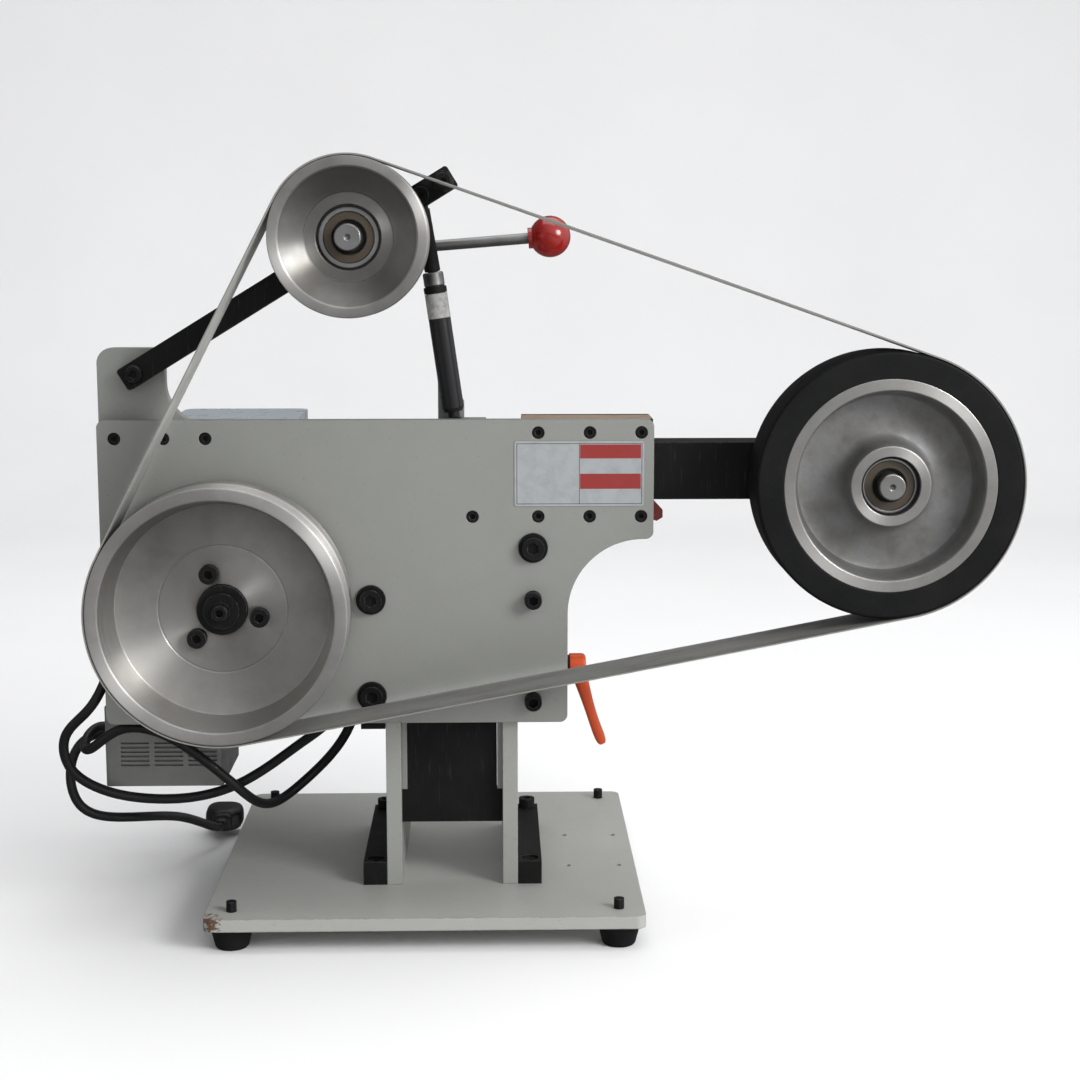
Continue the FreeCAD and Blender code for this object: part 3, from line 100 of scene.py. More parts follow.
class Shader:
    """A material with one Principled surface and short calls for the nodes that feed it."""

    def __init__(self, name):
        self.material = bpy.data.materials.new(name)
        self.material.use_nodes = True
        self.tree = self.material.node_tree
        self.surface = self.tree.nodes["Principled BSDF"]
        self.place = self.add("ShaderNodeTexCoord").outputs["Object"]

    def add(self, kind, inputs=None, **settings):
        """A new node with these settings and these input values or links."""
        made = self.tree.nodes.new(kind)
        for key, setting in settings.items():
            setattr(made, key, setting)
        for key, value in (inputs or {}).items():
            self.feed(made.inputs[key], value)
        return made

    def feed(self, socket, value):
        """Link another node's output, or set a plain value."""
        if isinstance(value, bpy.types.NodeSocket):
            self.tree.links.new(value, socket)
        else:
            socket.default_value = value

    def set(self, **inputs):
        """Feed the surface's inputs, written with underscores for spaces."""
        for key, value in inputs.items():
            self.feed(self.surface.inputs[key.replace("_", " ")], value)

    def math(self, operation, first, second=0.0, clamp=False):
        made = self.add("ShaderNodeMath", operation=operation, use_clamp=clamp)
        self.feed(made.inputs[0], first)
        self.feed(made.inputs[1], second)
        return made.outputs[0]

    def noise(self, scale, detail=3.0, roughness=0.55, place=None, stretch=None):
        """Noise with the given number of cells per metre."""
        where = place or self.place
        if stretch:
            where = self.add("ShaderNodeVectorMath", {0: where, 1: stretch}, operation="MULTIPLY").outputs[0]
        made = self.add("ShaderNodeTexNoise", {"Vector": where, "Scale": scale, "Detail": detail,
                                               "Roughness": roughness})
        return made.outputs["Fac"]

    def ramp(self, value, low, high, first=0.0, last=1.0):
        """Map low to first and high to last, and hold beyond both."""
        made = self.add("ShaderNodeMapRange", {"Value": value, "From Min": low, "From Max": high,
                                               "To Min": first, "To Max": last})
        return made.outputs["Result"]

    def blend(self, amount, first, second):
        """Colour mixed from first to second by the amount."""
        made = self.add("ShaderNodeMix", data_type="RGBA")
        self.feed(made.inputs["Factor"], amount)
        self.feed(made.inputs[6], first)
        self.feed(made.inputs[7], second)
        return made.outputs[2]

    def bump(self, height, strength, distance, normal=None):
        """Normal bent by a height, on top of another normal if one is given."""
        made = self.add("ShaderNodeBump", {"Height": height, "Strength": strength, "Distance": distance})
        if normal:
            self.feed(made.inputs["Normal"], normal)
        return made.outputs["Normal"]

    def edges(self, radius):
        """(0 to 1 mask of the convex and concave edges, rounded normal) from the Bevel node."""
        soft = self.add("ShaderNodeBevel", {"Radius": radius}, samples=4).outputs[0]
        hard = self.add("ShaderNodeNewGeometry").outputs["Normal"]
        along = self.add("ShaderNodeVectorMath", {0: soft, 1: hard}, operation="DOT_PRODUCT")
        return self.ramp(along.outputs["Value"], 0.998, 0.9), soft

    def near(self, point, inner, outer):
        """1 within the inner distance of a point, falling to 0 at the outer distance."""
        made = self.add("ShaderNodeVectorMath", {0: self.place, 1: tuple(point)}, operation="DISTANCE")
        return self.ramp(made.outputs["Value"], outer, inner)

    def window(self, left, right, bottom, top):
        """1 inside an upright rectangle given by its X and Z limits, 0 outside."""
        split = self.add("ShaderNodeSeparateXYZ", {0: self.place}).outputs
        sides = [self.math("GREATER_THAN", split["X"], left), self.math("LESS_THAN", split["X"], right),
                 self.math("GREATER_THAN", split["Z"], bottom), self.math("LESS_THAN", split["Z"], top)]
        across = self.math("MULTIPLY", sides[0], sides[1])
        return self.math("MULTIPLY", across, self.math("MULTIPLY", sides[2], sides[3]))

    def from_axis(self, centre):
        """Distance in metres from an axis along Y through the centre."""
        flat = self.add("ShaderNodeVectorMath", {0: self.place, 1: (1, 0, 1)}, operation="MULTIPLY")
        made = self.add("ShaderNodeVectorMath", {0: flat.outputs[0], 1: (centre.x, 0, centre.z)},
                        operation="DISTANCE")
        return made.outputs["Value"]


def grey(level, tint=(1.0, 1.0, 1.0)):
    return (level * tint[0], level * tint[1], level * tint[2], 1.0)


# ---------------------------------------------------------------- materials

def enamel(name, colour, chip=0.0, rough=0.42, knock=None):
    """Machine enamel: faint orange peel, soft grime, worn edges and a painted highlight along every edge;
    flaked to rust round a knock.
    """
    s = Shader(name)
    grime = s.ramp(s.noise(9, 5, 0.6), 0.42, 0.75)
    haze = s.ramp(s.noise(45, 4, 0.6), 0.35, 0.8)
    speck = s.ramp(s.noise(420, 2, 0.5), 0.68, 0.76)
    base = s.blend(s.math("MULTIPLY", grime, 0.35), colour, tuple(c * 0.84 for c in colour[:3]) + (1,))
    base = s.blend(s.math("MULTIPLY", haze, 0.18), base, tuple(min(1, c * 1.1) for c in colour[:3]) + (1,))
    base = s.blend(s.math("MULTIPLY", speck, 0.3), base, grey(0.05))
    mask, soft = s.edges(0.0012)
    worn = s.math("MULTIPLY", mask, s.ramp(s.noise(130, 4, 0.7), 0.5 - 0.12 * chip, 0.66))
    # Painted highlight: every edge a little paler.
    base = s.blend(s.math("MULTIPLY", mask, 0.35), base, tuple(min(1, c * 1.35) for c in colour[:3]) + (1,))
    base = s.blend(s.math("MULTIPLY", worn, 0.5 + 0.5 * chip), base, (0.11, 0.085, 0.065, 1))
    peel = s.bump(s.noise(700, 2, 0.5), 0.09, 0.0004, soft)
    peel = s.bump(s.noise(60, 2, 0.5), 0.05, 0.001, peel)
    if knock:
        flake = s.math("MULTIPLY", s.near(knock, 4 * MM, 26 * MM), s.ramp(s.noise(260, 4, 0.7), 0.3, 0.8))
        flake = s.ramp(flake, 0.24, 0.3)
        rust = s.blend(s.noise(900, 2, 0.5), (0.05, 0.035, 0.025, 1), (0.17, 0.08, 0.035, 1))
        base = s.blend(flake, base, rust)
        peel = s.bump(s.math("SUBTRACT", 1.0, flake), 0.5, 0.0003, peel)
    s.set(Base_Color=base, Roughness=s.ramp(haze, 0, 1, rough - 0.05, rough + 0.1), Normal=peel)
    return s.material


def black_oxide(name, level=0.022, rough=0.42):
    """Blackened steel: brownish bloom, light scratches and edges rubbed to bare metal."""
    s = Shader(name)
    bloom = s.ramp(s.noise(30, 4, 0.6), 0.35, 0.75)
    scratch = s.ramp(s.noise(900, 2, 0.6, stretch=(1.0, 1.0, 0.05)), 0.62, 0.8)
    base = s.blend(bloom, grey(level), grey(level * 1.7, (1.04, 1.0, 0.95)))
    base = s.blend(s.math("MULTIPLY", scratch, 0.12), base, grey(0.22))
    mask, soft = s.edges(0.0009)
    rubbed = s.math("MULTIPLY", mask, s.ramp(s.noise(220, 3, 0.6), 0.4, 0.7))
    base = s.blend(s.math("MULTIPLY", rubbed, 0.55), base, grey(0.2))
    s.set(Base_Color=base, Metallic=s.math("MULTIPLY", rubbed, 0.6), Specular_IOR_Level=0.16)
    s.set(Roughness=s.ramp(bloom, 0, 1, rough, rough + 0.14))
    s.set(Normal=s.bump(s.noise(1100, 2, 0.5), 0.12, 0.0002, soft))
    return s.material


def machined_steel(name, level=0.42, rough=0.3, stretch=(1.0, 0.06, 1.0)):
    """Bright turned or ground steel with directional tool marks and a painted highlight along the edges."""
    s = Shader(name)
    marks = s.noise(1500, 2, 0.6, stretch=stretch)
    stain = s.ramp(s.noise(50, 4, 0.6), 0.4, 0.75)
    base = s.blend(stain, grey(level), grey(level * 0.72, (1.03, 1.0, 0.95)))
    mask, soft = s.edges(0.0005)
    # Painted highlight: every edge paler.
    s.set(Base_Color=s.blend(s.math("MULTIPLY", mask, 0.4), base, grey(0.7)), Metallic=1.0)
    s.set(Roughness=s.ramp(marks, 0.3, 0.7, rough - 0.06, rough + 0.12))
    s.set(Normal=s.bump(marks, 0.12, 0.0002, soft))
    return s.material


def turned_aluminium(name, centre, level=0.6, rough=0.3, ring_depth=0.16, cast=0.0, band=0.0, warm=0.0):
    """Lathe-turned aluminium: fine rings round the wheel's axis, faint bands, finger smudges and a painted
    highlight along every edge.
    """
    s = Shader(name)
    reach = s.from_axis(centre)
    fine = s.add("ShaderNodeTexNoise", {"W": reach, "Scale": 2600.0, "Detail": 2.0}, noise_dimensions="1D")
    broad = s.add("ShaderNodeTexNoise", {"W": reach, "Scale": 330.0, "Detail": 2.0}, noise_dimensions="1D")
    smudge = s.ramp(s.noise(38, 4, 0.62), 0.4, 0.72)
    grain = s.noise(900, 3, 0.6)
    bands = s.ramp(broad.outputs["Fac"], 0.35, 0.7, 0, band)
    base = s.blend(bands, grey(level, (1.02, 1.0, 0.96)), grey(level * 0.8))
    base = s.blend(s.math("MULTIPLY", smudge, 0.45), base, grey(level * 0.66, (1.03, 1.0, 0.95)))
    oiled = s.ramp(s.noise(16, 3, 0.6), 0.42, 0.66)
    base = s.blend(s.math("MULTIPLY", oiled, warm), base, grey(level * 0.7, (1.12, 1.0, 0.84)))
    base = s.blend(s.ramp(grain, 0.45, 0.8, 0.0, cast), base, grey(level * 0.45))
    mask, soft = s.edges(0.0006)
    # Painted highlight: every edge paler.
    base = s.blend(s.math("MULTIPLY", mask, 0.35), base, grey(0.85))
    s.set(Base_Color=base, Metallic=1.0, Anisotropic=0.9 * (1 - cast), Anisotropic_Rotation=0.25)
    s.set(Tangent=s.add("ShaderNodeTangent", direction_type="RADIAL", axis="Y").outputs[0])
    s.set(Roughness=s.math("ADD", s.ramp(fine.outputs["Fac"], 0.3, 0.7, rough - 0.05, rough + 0.07),
                           s.math("MULTIPLY", smudge, 0.08)))
    rings = s.bump(fine.outputs["Fac"], ring_depth, 0.0001, soft)
    rings = s.bump(broad.outputs["Fac"], ring_depth * band, 0.0004, rings)
    s.set(Normal=s.bump(grain, 0.02 + 0.35 * cast, 0.0006, rings))
    return s.material


def sand_cast(name, level=0.3):
    """Unmachined casting: matt, blotchy, stained brown in the hollows and pitted, with a painted highlight
    along the edges.
    """
    s = Shader(name)
    blotch = s.ramp(s.noise(24, 5, 0.62), 0.36, 0.68)
    brown = s.ramp(s.noise(60, 4, 0.6), 0.52, 0.74)
    grit = s.noise(1300, 3, 0.65)
    base = s.blend(blotch, grey(level), grey(level * 0.66, (1.03, 1.0, 0.94)))
    base = s.blend(s.math("MULTIPLY", brown, 0.5), base, grey(level * 0.42, (1.2, 1.0, 0.78)))
    mask, soft = s.edges(0.0012)
    # Painted highlight: every edge paler.
    base = s.blend(s.math("MULTIPLY", mask, 0.35), base, grey(min(1.0, level * 1.6)))
    s.set(Base_Color=base, Metallic=0.55, Roughness=s.ramp(blotch, 0, 1, 0.5, 0.66))
    s.set(Normal=s.bump(grit, 0.35, 0.0003, s.bump(s.noise(180, 3, 0.6), 0.25, 0.0008, soft)))
    return s.material


def lit_top_bar(name):
    """Blackened bar whose upward faces are painted a patchy pale tan, a painted highlight from above."""
    s = Shader(name)
    facing = s.add("ShaderNodeNewGeometry").outputs["Normal"]
    upward = s.add("ShaderNodeSeparateXYZ", {0: facing}).outputs["Z"]
    # Painted highlight: the upward faces turn paler tan.
    top_highlight = s.math("MULTIPLY", s.ramp(upward, 0.5, 0.9), s.ramp(s.noise(60, 4, 0.6), 0.2, 0.5, 0.6, 1.0))
    tan = s.blend(s.noise(500, 3, 0.6), (0.17, 0.115, 0.075, 1), (0.34, 0.25, 0.18, 1))
    mask, soft = s.edges(0.0008)
    s.set(Base_Color=s.blend(top_highlight, grey(0.02), tan), Roughness=0.7, Specular_IOR_Level=0.2)
    s.set(Normal=s.bump(s.noise(800, 3, 0.6), 0.25, 0.0003, soft))
    return s.material


def rubber(name, level=0.018, rough=0.62, grain=900.0):
    """Dusty black rubber with a painted highlight along the edges."""
    s = Shader(name)
    dust = s.ramp(s.noise(24, 5, 0.65), 0.42, 0.8)
    fleck = s.ramp(s.noise(520, 2, 0.5), 0.64, 0.76)
    base = s.blend(dust, grey(level, (0.96, 1.0, 1.04)), grey(level * 1.8, (1.0, 1.0, 0.98)))
    base = s.blend(s.math("MULTIPLY", fleck, 0.05), base, grey(0.12))
    mask, soft = s.edges(0.0012)
    # Painted highlight: every edge paler.
    base = s.blend(s.math("MULTIPLY", mask, 0.3), base, grey(level * 3.4))
    s.set(Base_Color=base, Roughness=s.ramp(dust, 0, 1, rough - 0.08, rough + 0.14), Specular_IOR_Level=0.1)
    s.set(Normal=s.bump(s.noise(grain, 3, 0.6), 0.2, 0.0004, soft))
    return s.material


def plastic(name, colour, rough=0.22, texture=0.04, shine=0.25):
    """Moulded plastic or powder coat: slight mottling, handled patches a little glossier, and a painted
    highlight along the edges.
    """
    s = Shader(name)
    handled = s.ramp(s.noise(60, 4, 0.6), 0.38, 0.72)
    dark = tuple(c * 0.72 for c in colour[:3]) + (1,)
    mask, soft = s.edges(0.0007)
    base = s.blend(s.math("MULTIPLY", handled, 0.45), colour, dark)
    # Painted highlight: every edge paler.
    base = s.blend(s.math("MULTIPLY", mask, 0.25), base, tuple(min(1, c * 1.5) for c in colour[:3]) + (1,))
    s.set(Base_Color=base, Roughness=s.ramp(handled, 0, 1, rough, rough + 0.14), Coat_Weight=0.4 * shine)
    s.set(Specular_IOR_Level=shine)
    s.set(Normal=s.bump(s.noise(1300, 2, 0.5), texture, 0.0004, soft))
    return s.material


def belt_backing(name):
    """Woven cotton backing of the belt's inner side: pale higher up, darker towards the bottom, with dark
    smears low on the machine.
    """
    s = Shader(name)
    weave = s.add("ShaderNodeTexVoronoi", {"Vector": s.place, "Scale": 1500.0})
    fibre = s.noise(2200, 2, 0.5, stretch=(1.0, 0.25, 1.0))
    height = s.add("ShaderNodeSeparateXYZ", {0: s.place}).outputs["Z"]
    low = s.ramp(height, 0.42, 0.3)
    stain = s.ramp(s.noise(34, 4, 0.6), 0.38, 0.72)
    smear = s.ramp(s.noise(26, 5, 0.7, stretch=(0.5, 2.0, 1.0)), 0.44, 0.66)
    base = s.blend(stain, (0.30, 0.30, 0.28, 1), (0.19, 0.188, 0.17, 1))
    base = s.blend(s.math("MULTIPLY", fibre, 0.4), base, (0.40, 0.40, 0.38, 1))
    # Darker towards the bottom of the machine.
    base = s.blend(s.math("MULTIPLY", low, 0.85), base, (0.085, 0.083, 0.072, 1))
    base = s.blend(s.math("MULTIPLY", s.math("MULTIPLY", low, smear), 0.7), base, (0.04, 0.038, 0.034, 1))
    s.set(Base_Color=base, Roughness=0.8, Sheen_Weight=0.1)
    s.set(Normal=s.bump(weave.outputs["Distance"], 0.35, 0.0003))
    return s.material


def belt_grit(name):
    """Coarse aluminium-oxide grain on the belt's outer side, loaded with steel dust."""
    s = Shader(name)
    grain = s.add("ShaderNodeTexVoronoi", {"Vector": s.place, "Scale": 1900.0})
    load = s.ramp(s.noise(50, 4, 0.6), 0.4, 0.75)
    base = s.blend(grain.outputs["Distance"], (0.09, 0.07, 0.055, 1), (0.22, 0.18, 0.15, 1))
    base = s.blend(s.math("MULTIPLY", load, 0.5), base, grey(0.13))
    s.set(Base_Color=base, Roughness=0.75)
    s.set(Normal=s.bump(grain.outputs["Distance"], 0.8, 0.0006))
    return s.material


def belt_edge(name):
    """Cut edge of the cloth, paler and frayed."""
    s = Shader(name)
    fray = s.noise(1400, 3, 0.7)
    s.set(Base_Color=s.blend(fray, (0.13, 0.125, 0.115, 1), (0.27, 0.265, 0.25, 1)), Roughness=0.9)
    s.set(Normal=s.bump(fray, 0.5, 0.0003))
    return s.material


def blank_label(name, node):
    """A blank rating plate: pale face, thin dark border, two plain red bands and empty panels."""
    s = Shader(name)
    low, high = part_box(node)
    split = low.x + 0.5 * (high.x - low.x)
    edge, line = 1.6 * MM, 0.5 * MM
    left, right, bottom, top = low.x + edge, high.x - edge, low.z + edge, high.z - edge
    third = (top - bottom) / 4
    dirt = s.ramp(s.noise(120, 4, 0.6), 0.42, 0.75)
    frame_line = s.math("SUBTRACT", s.window(left, right, bottom, top),
                        s.window(left + line, right - line, bottom + line, top - line))
    halves = s.window(split - line / 2, split + line / 2, bottom, top)
    ink = s.math("ADD", frame_line, halves, clamp=True)
    bands = s.math("ADD", s.window(split + line, right - 2 * line, top - third, top - 2 * line),
                   s.window(split + line, right - 2 * line, bottom + third, bottom + 2 * third))
    base = s.blend(dirt, (0.31, 0.325, 0.335, 1), (0.26, 0.27, 0.275, 1))
    base = s.blend(bands, base, (0.25, 0.022, 0.02, 1))
    base = s.blend(ink, base, grey(0.05))
    s.set(Base_Color=base, Roughness=s.ramp(dirt, 0, 1, 0.3, 0.5))
    s.set(Normal=s.bump(ink, 0.2, 0.0002))
    return s.material


def worn_sleeve(name):
    """White paper sleeve, scuffed and stained."""
    s = Shader(name)
    scuff = s.ramp(s.noise(260, 4, 0.7), 0.42, 0.7)
    s.set(Base_Color=s.blend(scuff, (0.32, 0.32, 0.31, 1), (0.16, 0.15, 0.14, 1)), Roughness=0.55)
    s.set(Normal=s.bump(s.noise(500, 3, 0.6), 0.2, 0.0003))
    return s.material


# One grey enamel in three tones for the light: painted shade makes the head plates darkest, painted light
# makes the posts lighter and the base lightest.
SHADED_PAINT = (0.224, 0.229, 0.211, 1)
BASE_PAINT_LIT = (0.345, 0.348, 0.325, 1)
POST_PAINT_LIT = (0.285, 0.29, 0.27, 1)
MOTOR_PAINT = (0.17, 0.205, 0.24, 1)
mat_paint_shaded = enamel("grey_enamel_shaded", SHADED_PAINT, chip=0.2)
mat_base_lit = enamel("base_enamel_lit", BASE_PAINT_LIT, chip=0.8, knock=BASE_CORNER)
mat_post_lit = enamel("post_enamel_lit", POST_PAINT_LIT, chip=0.3)
mat_motor = enamel("motor_enamel", MOTOR_PAINT, chip=0.3, rough=0.36)
# Painted sheen: the lid is a paler copy of the motor's enamel.
mat_lid_sheen = enamel("lid_enamel_sheen", (0.36, 0.40, 0.43, 1), chip=0.2, rough=0.3)
mat_black = black_oxide("black_oxide", level=0.0045, rough=0.5)
mat_gloss = plastic("black_gloss", (0.01, 0.01, 0.011, 1), rough=0.18)
mat_steel = machined_steel("machined_steel", level=0.30, rough=0.34)
mat_lit_top = lit_top_bar("channel_bar_steel")
mat_lever = machined_steel("lever_steel", level=0.24, rough=0.42, stretch=(0.05, 1.0, 1.0))
mat_drive = turned_aluminium("drive_aluminium", DRIVE, level=0.42, rough=0.36, warm=0.25)
mat_drive_rim = turned_aluminium("drive_rim", DRIVE, level=0.55, rough=0.42)
mat_idler = turned_aluminium("idler_aluminium", IDLER, level=0.24, rough=0.38, warm=0.4)
mat_idler_rim = turned_aluminium("idler_rim", IDLER, level=0.42, rough=0.42)
mat_rim = turned_aluminium("contact_rim", CONTACT, level=0.38, rough=0.4, ring_depth=0.08, cast=0.2)
mat_cast = sand_cast("contact_casting", level=0.2)
mat_seal = plastic("bearing_seal", (0.06, 0.048, 0.034, 1), rough=0.35, texture=0.06)
mat_rubber = rubber("tyre_rubber", level=0.006)
mat_foot = rubber("foot_rubber", level=0.008)
mat_cable = plastic("cable_sheath", (0.010, 0.010, 0.011, 1), rough=0.42, texture=0.08)
mat_box = plastic("control_box_plastic", (0.17, 0.174, 0.165, 1), rough=0.45, texture=0.1)
mat_red = plastic("red_ball", (0.24, 0.008, 0.006, 1), rough=0.14, shine=0.5)
mat_orange = plastic("orange_coat", (0.50, 0.062, 0.014, 1), rough=0.4, texture=0.14)
mat_label = blank_label("label_face", "label_plate")
mat_sleeve = worn_sleeve("strut_sleeve")
mat_backing = belt_backing("belt_backing")
mat_grit = belt_grit("belt_grit")
mat_edge = belt_edge("belt_edge")

SLOT_LOOKS = {
    "grey_paint": mat_paint_shaded, "black_steel": mat_black, "bare_steel": mat_steel, "aluminium": mat_drive,
    "rubber": mat_rubber, "abrasive": mat_grit, "motor_paint": mat_motor, "grey_plastic": mat_box,
    "cable": mat_cable, "red_plastic": mat_red, "orange_zinc": mat_orange, "label": mat_label,
}
NODE_LOOKS = {
    "base_plate": mat_base_lit, "idler_wheel": mat_idler, "contact_wheel": mat_cast, "rubber_feet": mat_foot,
    "strut_rod": mat_black, "strut_tube": mat_gloss, "release_lever": mat_lever, "channel_bar_top": mat_lit_top,
    "terminal_box_lid": mat_lid_sheen, "strut_bracket": mat_paint_shaded, "column_left": mat_post_lit,
    "column_right": mat_post_lit,
}


def dress(obj, *looks):
    """Give an object these materials, one per slot, and no others."""
    obj.data.materials.clear()
    for look in looks:
        obj.data.materials.append(look)


def dress_frame():
    """Give every CAD node its finish, by its slot in the record unless it has a finish of its own."""
    for entry in frame["record"]["subparts"]:
        node = entry["node"]
        dress(nodes[node], NODE_LOOKS.get(node, SLOT_LOOKS[entry["material_slot"]]))


# ---------------------------------------------------------------- mesh building blocks

def finish_mesh(name, bm, looks, body, angle=35.0):
    """Turn a bmesh into a smooth-shaded object with sharp edges over the angle, riding on the body."""
    bmesh.ops.recalc_face_normals(bm, faces=bm.faces)
    data = bpy.data.meshes.new(name)
    bm.to_mesh(data)
    bm.free()
    obj = bpy.data.objects.new(name, data)
    bpy.context.scene.collection.objects.link(obj)
    for look in looks:
        data.materials.append(look)
    data.shade_smooth()
    data.set_sharp_from_angle(angle=math.radians(angle))
    if body:
        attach(obj, body)
    return obj


def lathe(name, profile, origin, axis, looks, body, segments=160, look_of=None):
    """A closed solid of revolution. Profile points are (radius, distance along the axis)."""
    axis = Vector(axis).normalized()
    side = axis.orthogonal().normalized()
    other = axis.cross(side)
    bm = bmesh.new()
    rings = []
    for step in range(segments):
        turn = 2 * math.pi * step / segments
        out = side * math.cos(turn) + other * math.sin(turn)
        rings.append([bm.verts.new(Vector(origin) + out * r + axis * y) for r, y in profile])
    count = len(profile)
    for step in range(segments):
        here, following = rings[step], rings[(step + 1) % segments]
        for index in range(count):
            after = (index + 1) % count
            if profile[index][0] < 1e-7 and profile[after][0] < 1e-7:
                continue
            face = bm.faces.new((here[index], here[after], following[after], following[index]))
            if look_of:
                face.material_index = look_of(profile[index], profile[after])
    bmesh.ops.remove_doubles(bm, verts=bm.verts, dist=1e-7)
    made = finish_mesh(name, bm, looks, body)
    made.modifiers.new("flat_faces", "WEIGHTED_NORMAL").keep_sharp = True
    return made


# ---------------------------------------------------------------- wheels

def mm(points):
    """(radius, distance) pairs from millimetres to metres."""
    return [(radius * MM, along * MM) for radius, along in points]


def wheel_front(centre):
    """Where a wheel's axis meets the front plane of the wheels."""
    return Vector((centre.x, WHEEL_FRONT, centre.z))


def rim_face(inner):
    """Slot 1 for the flat of the rim outside the given radius in millimetres, slot 0 elsewhere."""
    return lambda first, second: 1 if min(first[0], second[0]) > (inner - 1) * MM and first[1] < 2 * MM else 0


def build_drive_wheel():
    """Deep wheel: flat rim face, tapered inner wall, and a web dished towards the hub."""
    rim = radius_of("drive_wheel") / MM
    face = rim - 9.6
    front = [(19.6, 38), (48.6, 38), (49.0, 38.5), (50.0, 38.5), (50.4, 38), (58, 37.5), (66, 36.7),
             (74, 35.6),
             (81.0, 34.3), (82.2, 33.9), (82.9, 32.9), (face - 0.9, 1.6), (face - 0.3, 0.4),
             (face + 0.5, 0), (rim - 1.6, 0), (rim - 0.7, 0.4), (rim - 0.4, 1.2)]
    back = [(rim, 25), (rim - 0.4, 48.8), (rim - 1.2, 50), (rim - 8, 50), (rim - 12, 46), (19.6, 46)]
    wheel = lathe("drive_wheel_turned", mm(front + back), wheel_front(DRIVE), BACKWARDS,
                  [mat_drive, mat_drive_rim], "drive", 256, rim_face(face))
    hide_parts("drive_wheel")


def build_idler_wheel():
    """Spun idler: rolled rim, conical dish and a flat web with two turned steps round the bearing."""
    rim = radius_of("idler_wheel") / MM
    front = [(24.0, 15.6), (24.6, 15), (32.6, 15), (33.0, 14.8), (33.4, 13.9), (36, 12.4), (42, 8), (48, 3.6),
             (50.6, 1.5), (51.4, 0.4), (52.0, 0), (rim - 1.4, 0), (rim - 0.6, 0.4), (rim - 0.4, 1.2)]
    back = [(rim, 25), (rim - 0.4, 48.8), (rim - 1, 50), (52.6, 50), (52, 49.2), (51.4, 12), (50, 10.8),
            (37, 19.4), (34.6, 21.4), (33.4, 25), (33, 47), (32, 48), (24.6, 48), (24.0, 47.4)]
    wheel = lathe("idler_wheel_turned", mm(front + back), wheel_front(IDLER), BACKWARDS,
                  [mat_idler, mat_idler_rim], "idler", 224, rim_face(51.5))
    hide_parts("idler_wheel")


def build_contact_wheel():
    """Cast wheel: machined rim and boss, and a sandy web with large fillets at both ends."""
    rim = radius_of("contact_wheel") / MM
    front = [(22.4, 0.4), (22.8, 0), (29.6, 0), (30.3, 0.5), (30.8, 3), (31.4, 12), (32.6, 18), (35.2, 22.4),
             (39, 24.6), (46, 25.8), (56, 26.2), (63, 26), (66.4, 25), (68.2, 22.6), (69.2, 18), (70.6, 6),
             (71.0, 2.4), (71.6, 0.8), (72.4, 0), (rim - 0.4, 0), (rim, 0.4)]
    back = [(radius, WHEEL_WIDTH / MM - 0.6 * along) for radius, along in reversed(front)]

    def surface(first, second):
        return 1 if 30.4 * MM < (first[0] + second[0]) / 2 < 71.5 * MM else 0

    wheel = lathe("contact_wheel_cast", mm(front + back), wheel_front(CONTACT), BACKWARDS,
                  [mat_rim, mat_cast], "contact", 224, surface)
    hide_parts("contact_wheel")


def build_tyre():
    """Thick rubber tyre with rounded shoulders and a mould line."""
    outer = radius_of("contact_tyre") / MM
    inner = radius_of("contact_wheel") / MM + 0.01
    side = [(inner, 0.5), (inner + 0.5, 0), (outer - 2.6, 0), (outer - 1.4, 0.4), (outer - 0.5, 1.3),
            (outer, 2.8)]
    middle_line = [(outer, 24.6), (outer + 0.03, 25), (outer, 25.4)]
    far = [(radius, WHEEL_WIDTH / MM - along) for radius, along in reversed(side)]
    tyre = lathe("contact_tyre_moulded", mm(side + middle_line + far), wheel_front(CONTACT), BACKWARDS,
                 [mat_rubber], "contact", 256)
    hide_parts("contact_tyre")


def build_bearing(name, centre, body, turn, seat, bore):
    """Sealed bearing seen along its axis: outer ring, dished seal, an inner groove painted black as painted
    shade, and a circlip.
    Turn is 1 for the bearing facing the user and -1 for the rear one; seat is its depth."""
    origin = Vector((centre.x, WHEEL_FRONT + seat * MM, centre.z))
    rings = [(10.05, 4.4), (12.5, 4.4), (12.8, 2.0), (13.6, 1.4), (15.2, 1.7), (18.4, 1.7), (18.8, 1.0),
             (19.3, 0.3), (bore - 0.3, 0.3), (bore, 0.6), (bore, 12), (10.05, 12)]

    def surface(first, second):
        where = (first[0] + second[0]) / 2
        if first[1] >= 6 * MM or where >= 18.6 * MM:
            return 0
        # Painted shade: the inner ring's face down in the groove is black.
        return 2 if where < 12.7 * MM else 1

    lathe(f"{name}_bearing", mm(rings), origin, BACKWARDS * turn, [mat_steel, mat_seal, mat_black], body,
          128, surface)
    clip = [(bore - 1.9, -1.6), (bore - 0.1, -1.6), (bore - 0.1, -0.4), (bore - 1.9, -0.4)]
    return lathe(f"{name}_circlip", mm(clip), origin, BACKWARDS * turn, [mat_black], body, 128)


def build_bearings():
    """A pair of sealed bearings and circlips in the idler and in the contact wheel."""
    for wheel, centre, bore, first, last in (("idler", IDLER, 24.0, 17.5, 46),
                                             ("contact", CONTACT, 22.4, 5.5, 44.5)):
        build_bearing(f"{wheel}_front", centre, wheel, 1, first, bore)
        clip = build_bearing(f"{wheel}_rear", centre, wheel, -1, last, bore)
        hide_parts(f"{wheel}_bearings", f"{wheel}_circlips")


def build_wheels():
    """All three wheels with what they carry."""
    build_drive_wheel()
    build_idler_wheel()
    build_contact_wheel()
    build_tyre()
    build_bearings()


# ---------------------------------------------------------------- belt

def run_between(first, second):
    """Where the belt leaves one wheel and meets the next, wheels as (x, z, radius)."""
    dx, dz = second[0] - first[0], second[1] - first[1]
    side = math.atan2(dz, dx) - math.pi / 2 + math.asin((first[2] - second[2]) / math.hypot(dx, dz))
    return side


